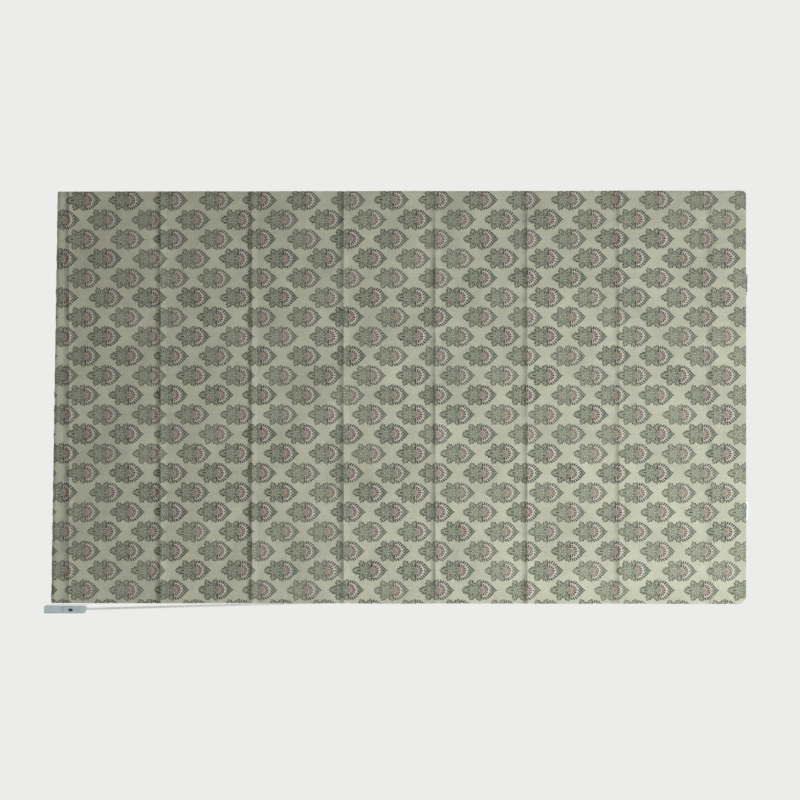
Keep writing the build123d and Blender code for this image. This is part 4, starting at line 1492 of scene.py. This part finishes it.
@dataclass
class Hardware:
    """The rigid pieces that keep their own shapes and take a finish."""

    finishes: dict[str, Finish] = field(default_factory=lambda: {
        "headrail": Finish.RAIL,
        "end_cap": Finish.ENDS,
        "end_bush": Finish.SPOOL,
        "drive_housing": Finish.DRIVE,
        "drive_cover": Finish.DRIVE,
        "cover_screws": Finish.ZINC,
        "chain_wheel": Finish.SPOOL,
        "clutch_spring": Finish.SPRING,
        "clutch_collar": Finish.SPOOL,
        "drive_shaft": Finish.SHAFT,
        "lift_spool": Finish.SPOOL,
        "spool_cradle": Finish.ENDS,
        "rod_caps": Finish.CLEAR,
        "rod_": Finish.GLASS_ROD,
        "cord_rings": Finish.CLEAR,
        "bottom_bar_caps": Finish.ENDS,
        "bottom_bar": Finish.ALUMINIUM,
        "cord_anchors": Finish.CLEAR,
        "cord_toggles": Finish.CLEAR,
        "chain_holder_axle": Finish.SHAFT,
        "chain_holder": Finish.HOLDER,
        "head_bracket": Finish.ZINC,
        "bracket_lever": Finish.ENDS,
    })
    replaced: tuple[str, ...] = (
        "face_fabric",
        "rod_pocket",
        "hook_tape",
        "loop_tape",
        "lift_cord",
        "bead_chain",
    )

    def dress(self) -> None:
        """Gives each rigid node the finish of the first name that starts its own."""
        for name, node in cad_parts.items():
            if name.startswith(self.replaced):
                continue
            finish = next(found for start, found in self.finishes.items() if name.startswith(start))
            for slot in node.material_slots:
                slot.material = finish.material()
            log.info("%s: %s", name, finish.value.name)


@dataclass(frozen=True)
class Lamp:
    """One soft square light."""

    name: str
    place: tuple[float, float, float]
    aim: tuple[float, float, float]
    size: float
    power: float
    colour: tuple[float, float, float] = (1.0, 1.0, 1.0)

    def build(self) -> None:
        """Adds the light to the scene, turned to its aim."""
        light = bpy.data.lights.new(self.name, "AREA")
        light.shape = "SQUARE"
        light.size = self.size
        light.energy = self.power
        light.color = self.colour
        made = bpy.data.objects.new(self.name, light)
        made.location = self.place
        made.rotation_euler = (Vector(self.aim) - Vector(self.place)).to_track_quat("-Z", "Y").to_euler()
        bpy.context.scene.collection.objects.link(made)


@dataclass
class Studio:
    """Plain pale floor, soft light and the camera, turned a quarter as the photograph is."""

    distance: float = 3.0
    aim: tuple[float, float, float] = (0.0058, -0.02, -0.746)
    frame_width: float = 1.717
    sensor: float = 36.0
    floor_drop: float = 0.9
    floor_radius: float = 0.9
    floor_sides: int = 64
    floor_tones: tuple[Colour, Colour] = (paint(226, 227, 224), paint(232, 233, 230))
    backdrop: Colour = paint(236, 237, 234)
    ambient: float = 0.14
    ambient_colour: Colour = (1.0, 0.96, 0.86, 1.0)
    lamps: tuple[Lamp, ...] = (
        Lamp("key_light", (0.75, -1.75, 0.3), (0.1, 0.0, -0.6), 1.2, 43.5, (0.94, 1.0, 1.05)),
        Lamp("fill_light", (-1.6, -2.6, -0.3), (0.0, 0.0, -0.8), 1.6, 2.0),
        Lamp("back_light", (-1.2, 2.6, 0.6), (0.0, 0.0, -0.7), 1.6, 60.0),
        Lamp("right_light", (2.05, 0.35, -0.3), (0.45, 0.0, -0.4), 1.0, 22.0),
        Lamp("left_light", (-2.05, 0.35, -0.3), (-0.45, 0.0, -0.4), 1.0, 22.0),
        Lamp("top_light", (0.0, 0.35, 1.6), (0.0, 0.0, 0.0), 1.0, 22.0),
    )

    def build(self) -> None:
        """Builds the floor, lights, world and camera."""
        self.floor()
        for lamp in self.lamps:
            lamp.build()
        self.world()
        self.camera()
        bpy.context.scene.view_settings.view_transform = "Standard"

    def floor(self) -> None:
        """Makes a pale round floor below the hem."""
        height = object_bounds()[0][2] - self.floor_drop
        rim = self.floor_sides
        points = [Vector((0, 0, height))]
        for step in range(rim):
            turn = 2 * math.pi * step / rim
            x, y = math.cos(turn) * self.floor_radius, math.sin(turn) * self.floor_radius
            points.append(Vector((x, y, height)))
        faces = [(0, 1 + step, 1 + (step + 1) % rim) for step in range(rim)]
        disc = mesh_object("studio_floor", points, faces)
        graph = Graph.material("studio_floor")
        grain = graph.step(graph.noise(graph.place(), 30.0), 0.2, 0.8)
        tone = graph.mix(grain, *self.floor_tones)
        disc.data.materials.append(graph.surface(Base_Color=tone, Roughness=0.8))
        disc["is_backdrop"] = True

    def world(self) -> None:
        """Lights all round evenly and shows a pale backdrop to the camera."""
        world = bpy.data.worlds.new("studio")
        bpy.context.scene.world = world
        graph = Graph(world)
        rays = graph.node("ShaderNodeLightPath").outputs
        seen = graph.math("MAXIMUM", Term(graph, rays["Is Camera Ray"]), Term(graph, rays["Is Glossy Ray"]))
        seen = graph.math("MAXIMUM", seen, Term(graph, rays["Is Transmission Ray"]))
        soft = graph.node("ShaderNodeBackground", sockets={0: self.ambient_colour, 1: self.ambient})
        shown = graph.node("ShaderNodeBackground", sockets={0: self.backdrop})
        both = {0: seen, 1: Term(graph, soft.outputs[0]), 2: Term(graph, shown.outputs[0])}
        blend = graph.node("ShaderNodeMixShader", sockets=both)
        graph.node("ShaderNodeOutputWorld", sockets={0: Term(graph, blend.outputs[0])})

    def camera(self) -> None:
        """Places the camera square on, rolled so that the shade's top is on the right."""
        lens = bpy.data.cameras.new("camera")
        lens.sensor_width = self.sensor
        lens.lens = self.sensor * self.distance / self.frame_width
        lens.clip_end = 100.0
        made = bpy.data.objects.new("camera", lens)
        right, up, back = Vector((0, 0, 1)), Vector((-1, 0, 0)), Vector((0, -1, 0))
        turn = Matrix((right, up, back)).transposed().to_4x4()
        made.matrix_world = Matrix.Translation(Vector(self.aim) + back * self.distance) @ turn
        bpy.context.scene.collection.objects.link(made)
        bpy.context.scene.camera = made


def main() -> None:
    """Builds every piece in order and logs how many pieces each builder made."""
    logging.basicConfig(level=logging.INFO, format="%(message)s")
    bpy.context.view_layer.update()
    lines = ShadeLines()
    Studio().build()
    for builder in (FaceCloth(lines), RodPockets(lines), HeadTapes(), LiftCords(lines), BeadChain()):
        log.info("%s: %d pieces", type(builder).__name__, len(builder.build()))
    Hardware().dress()


if __name__ == "__main__":
    main()
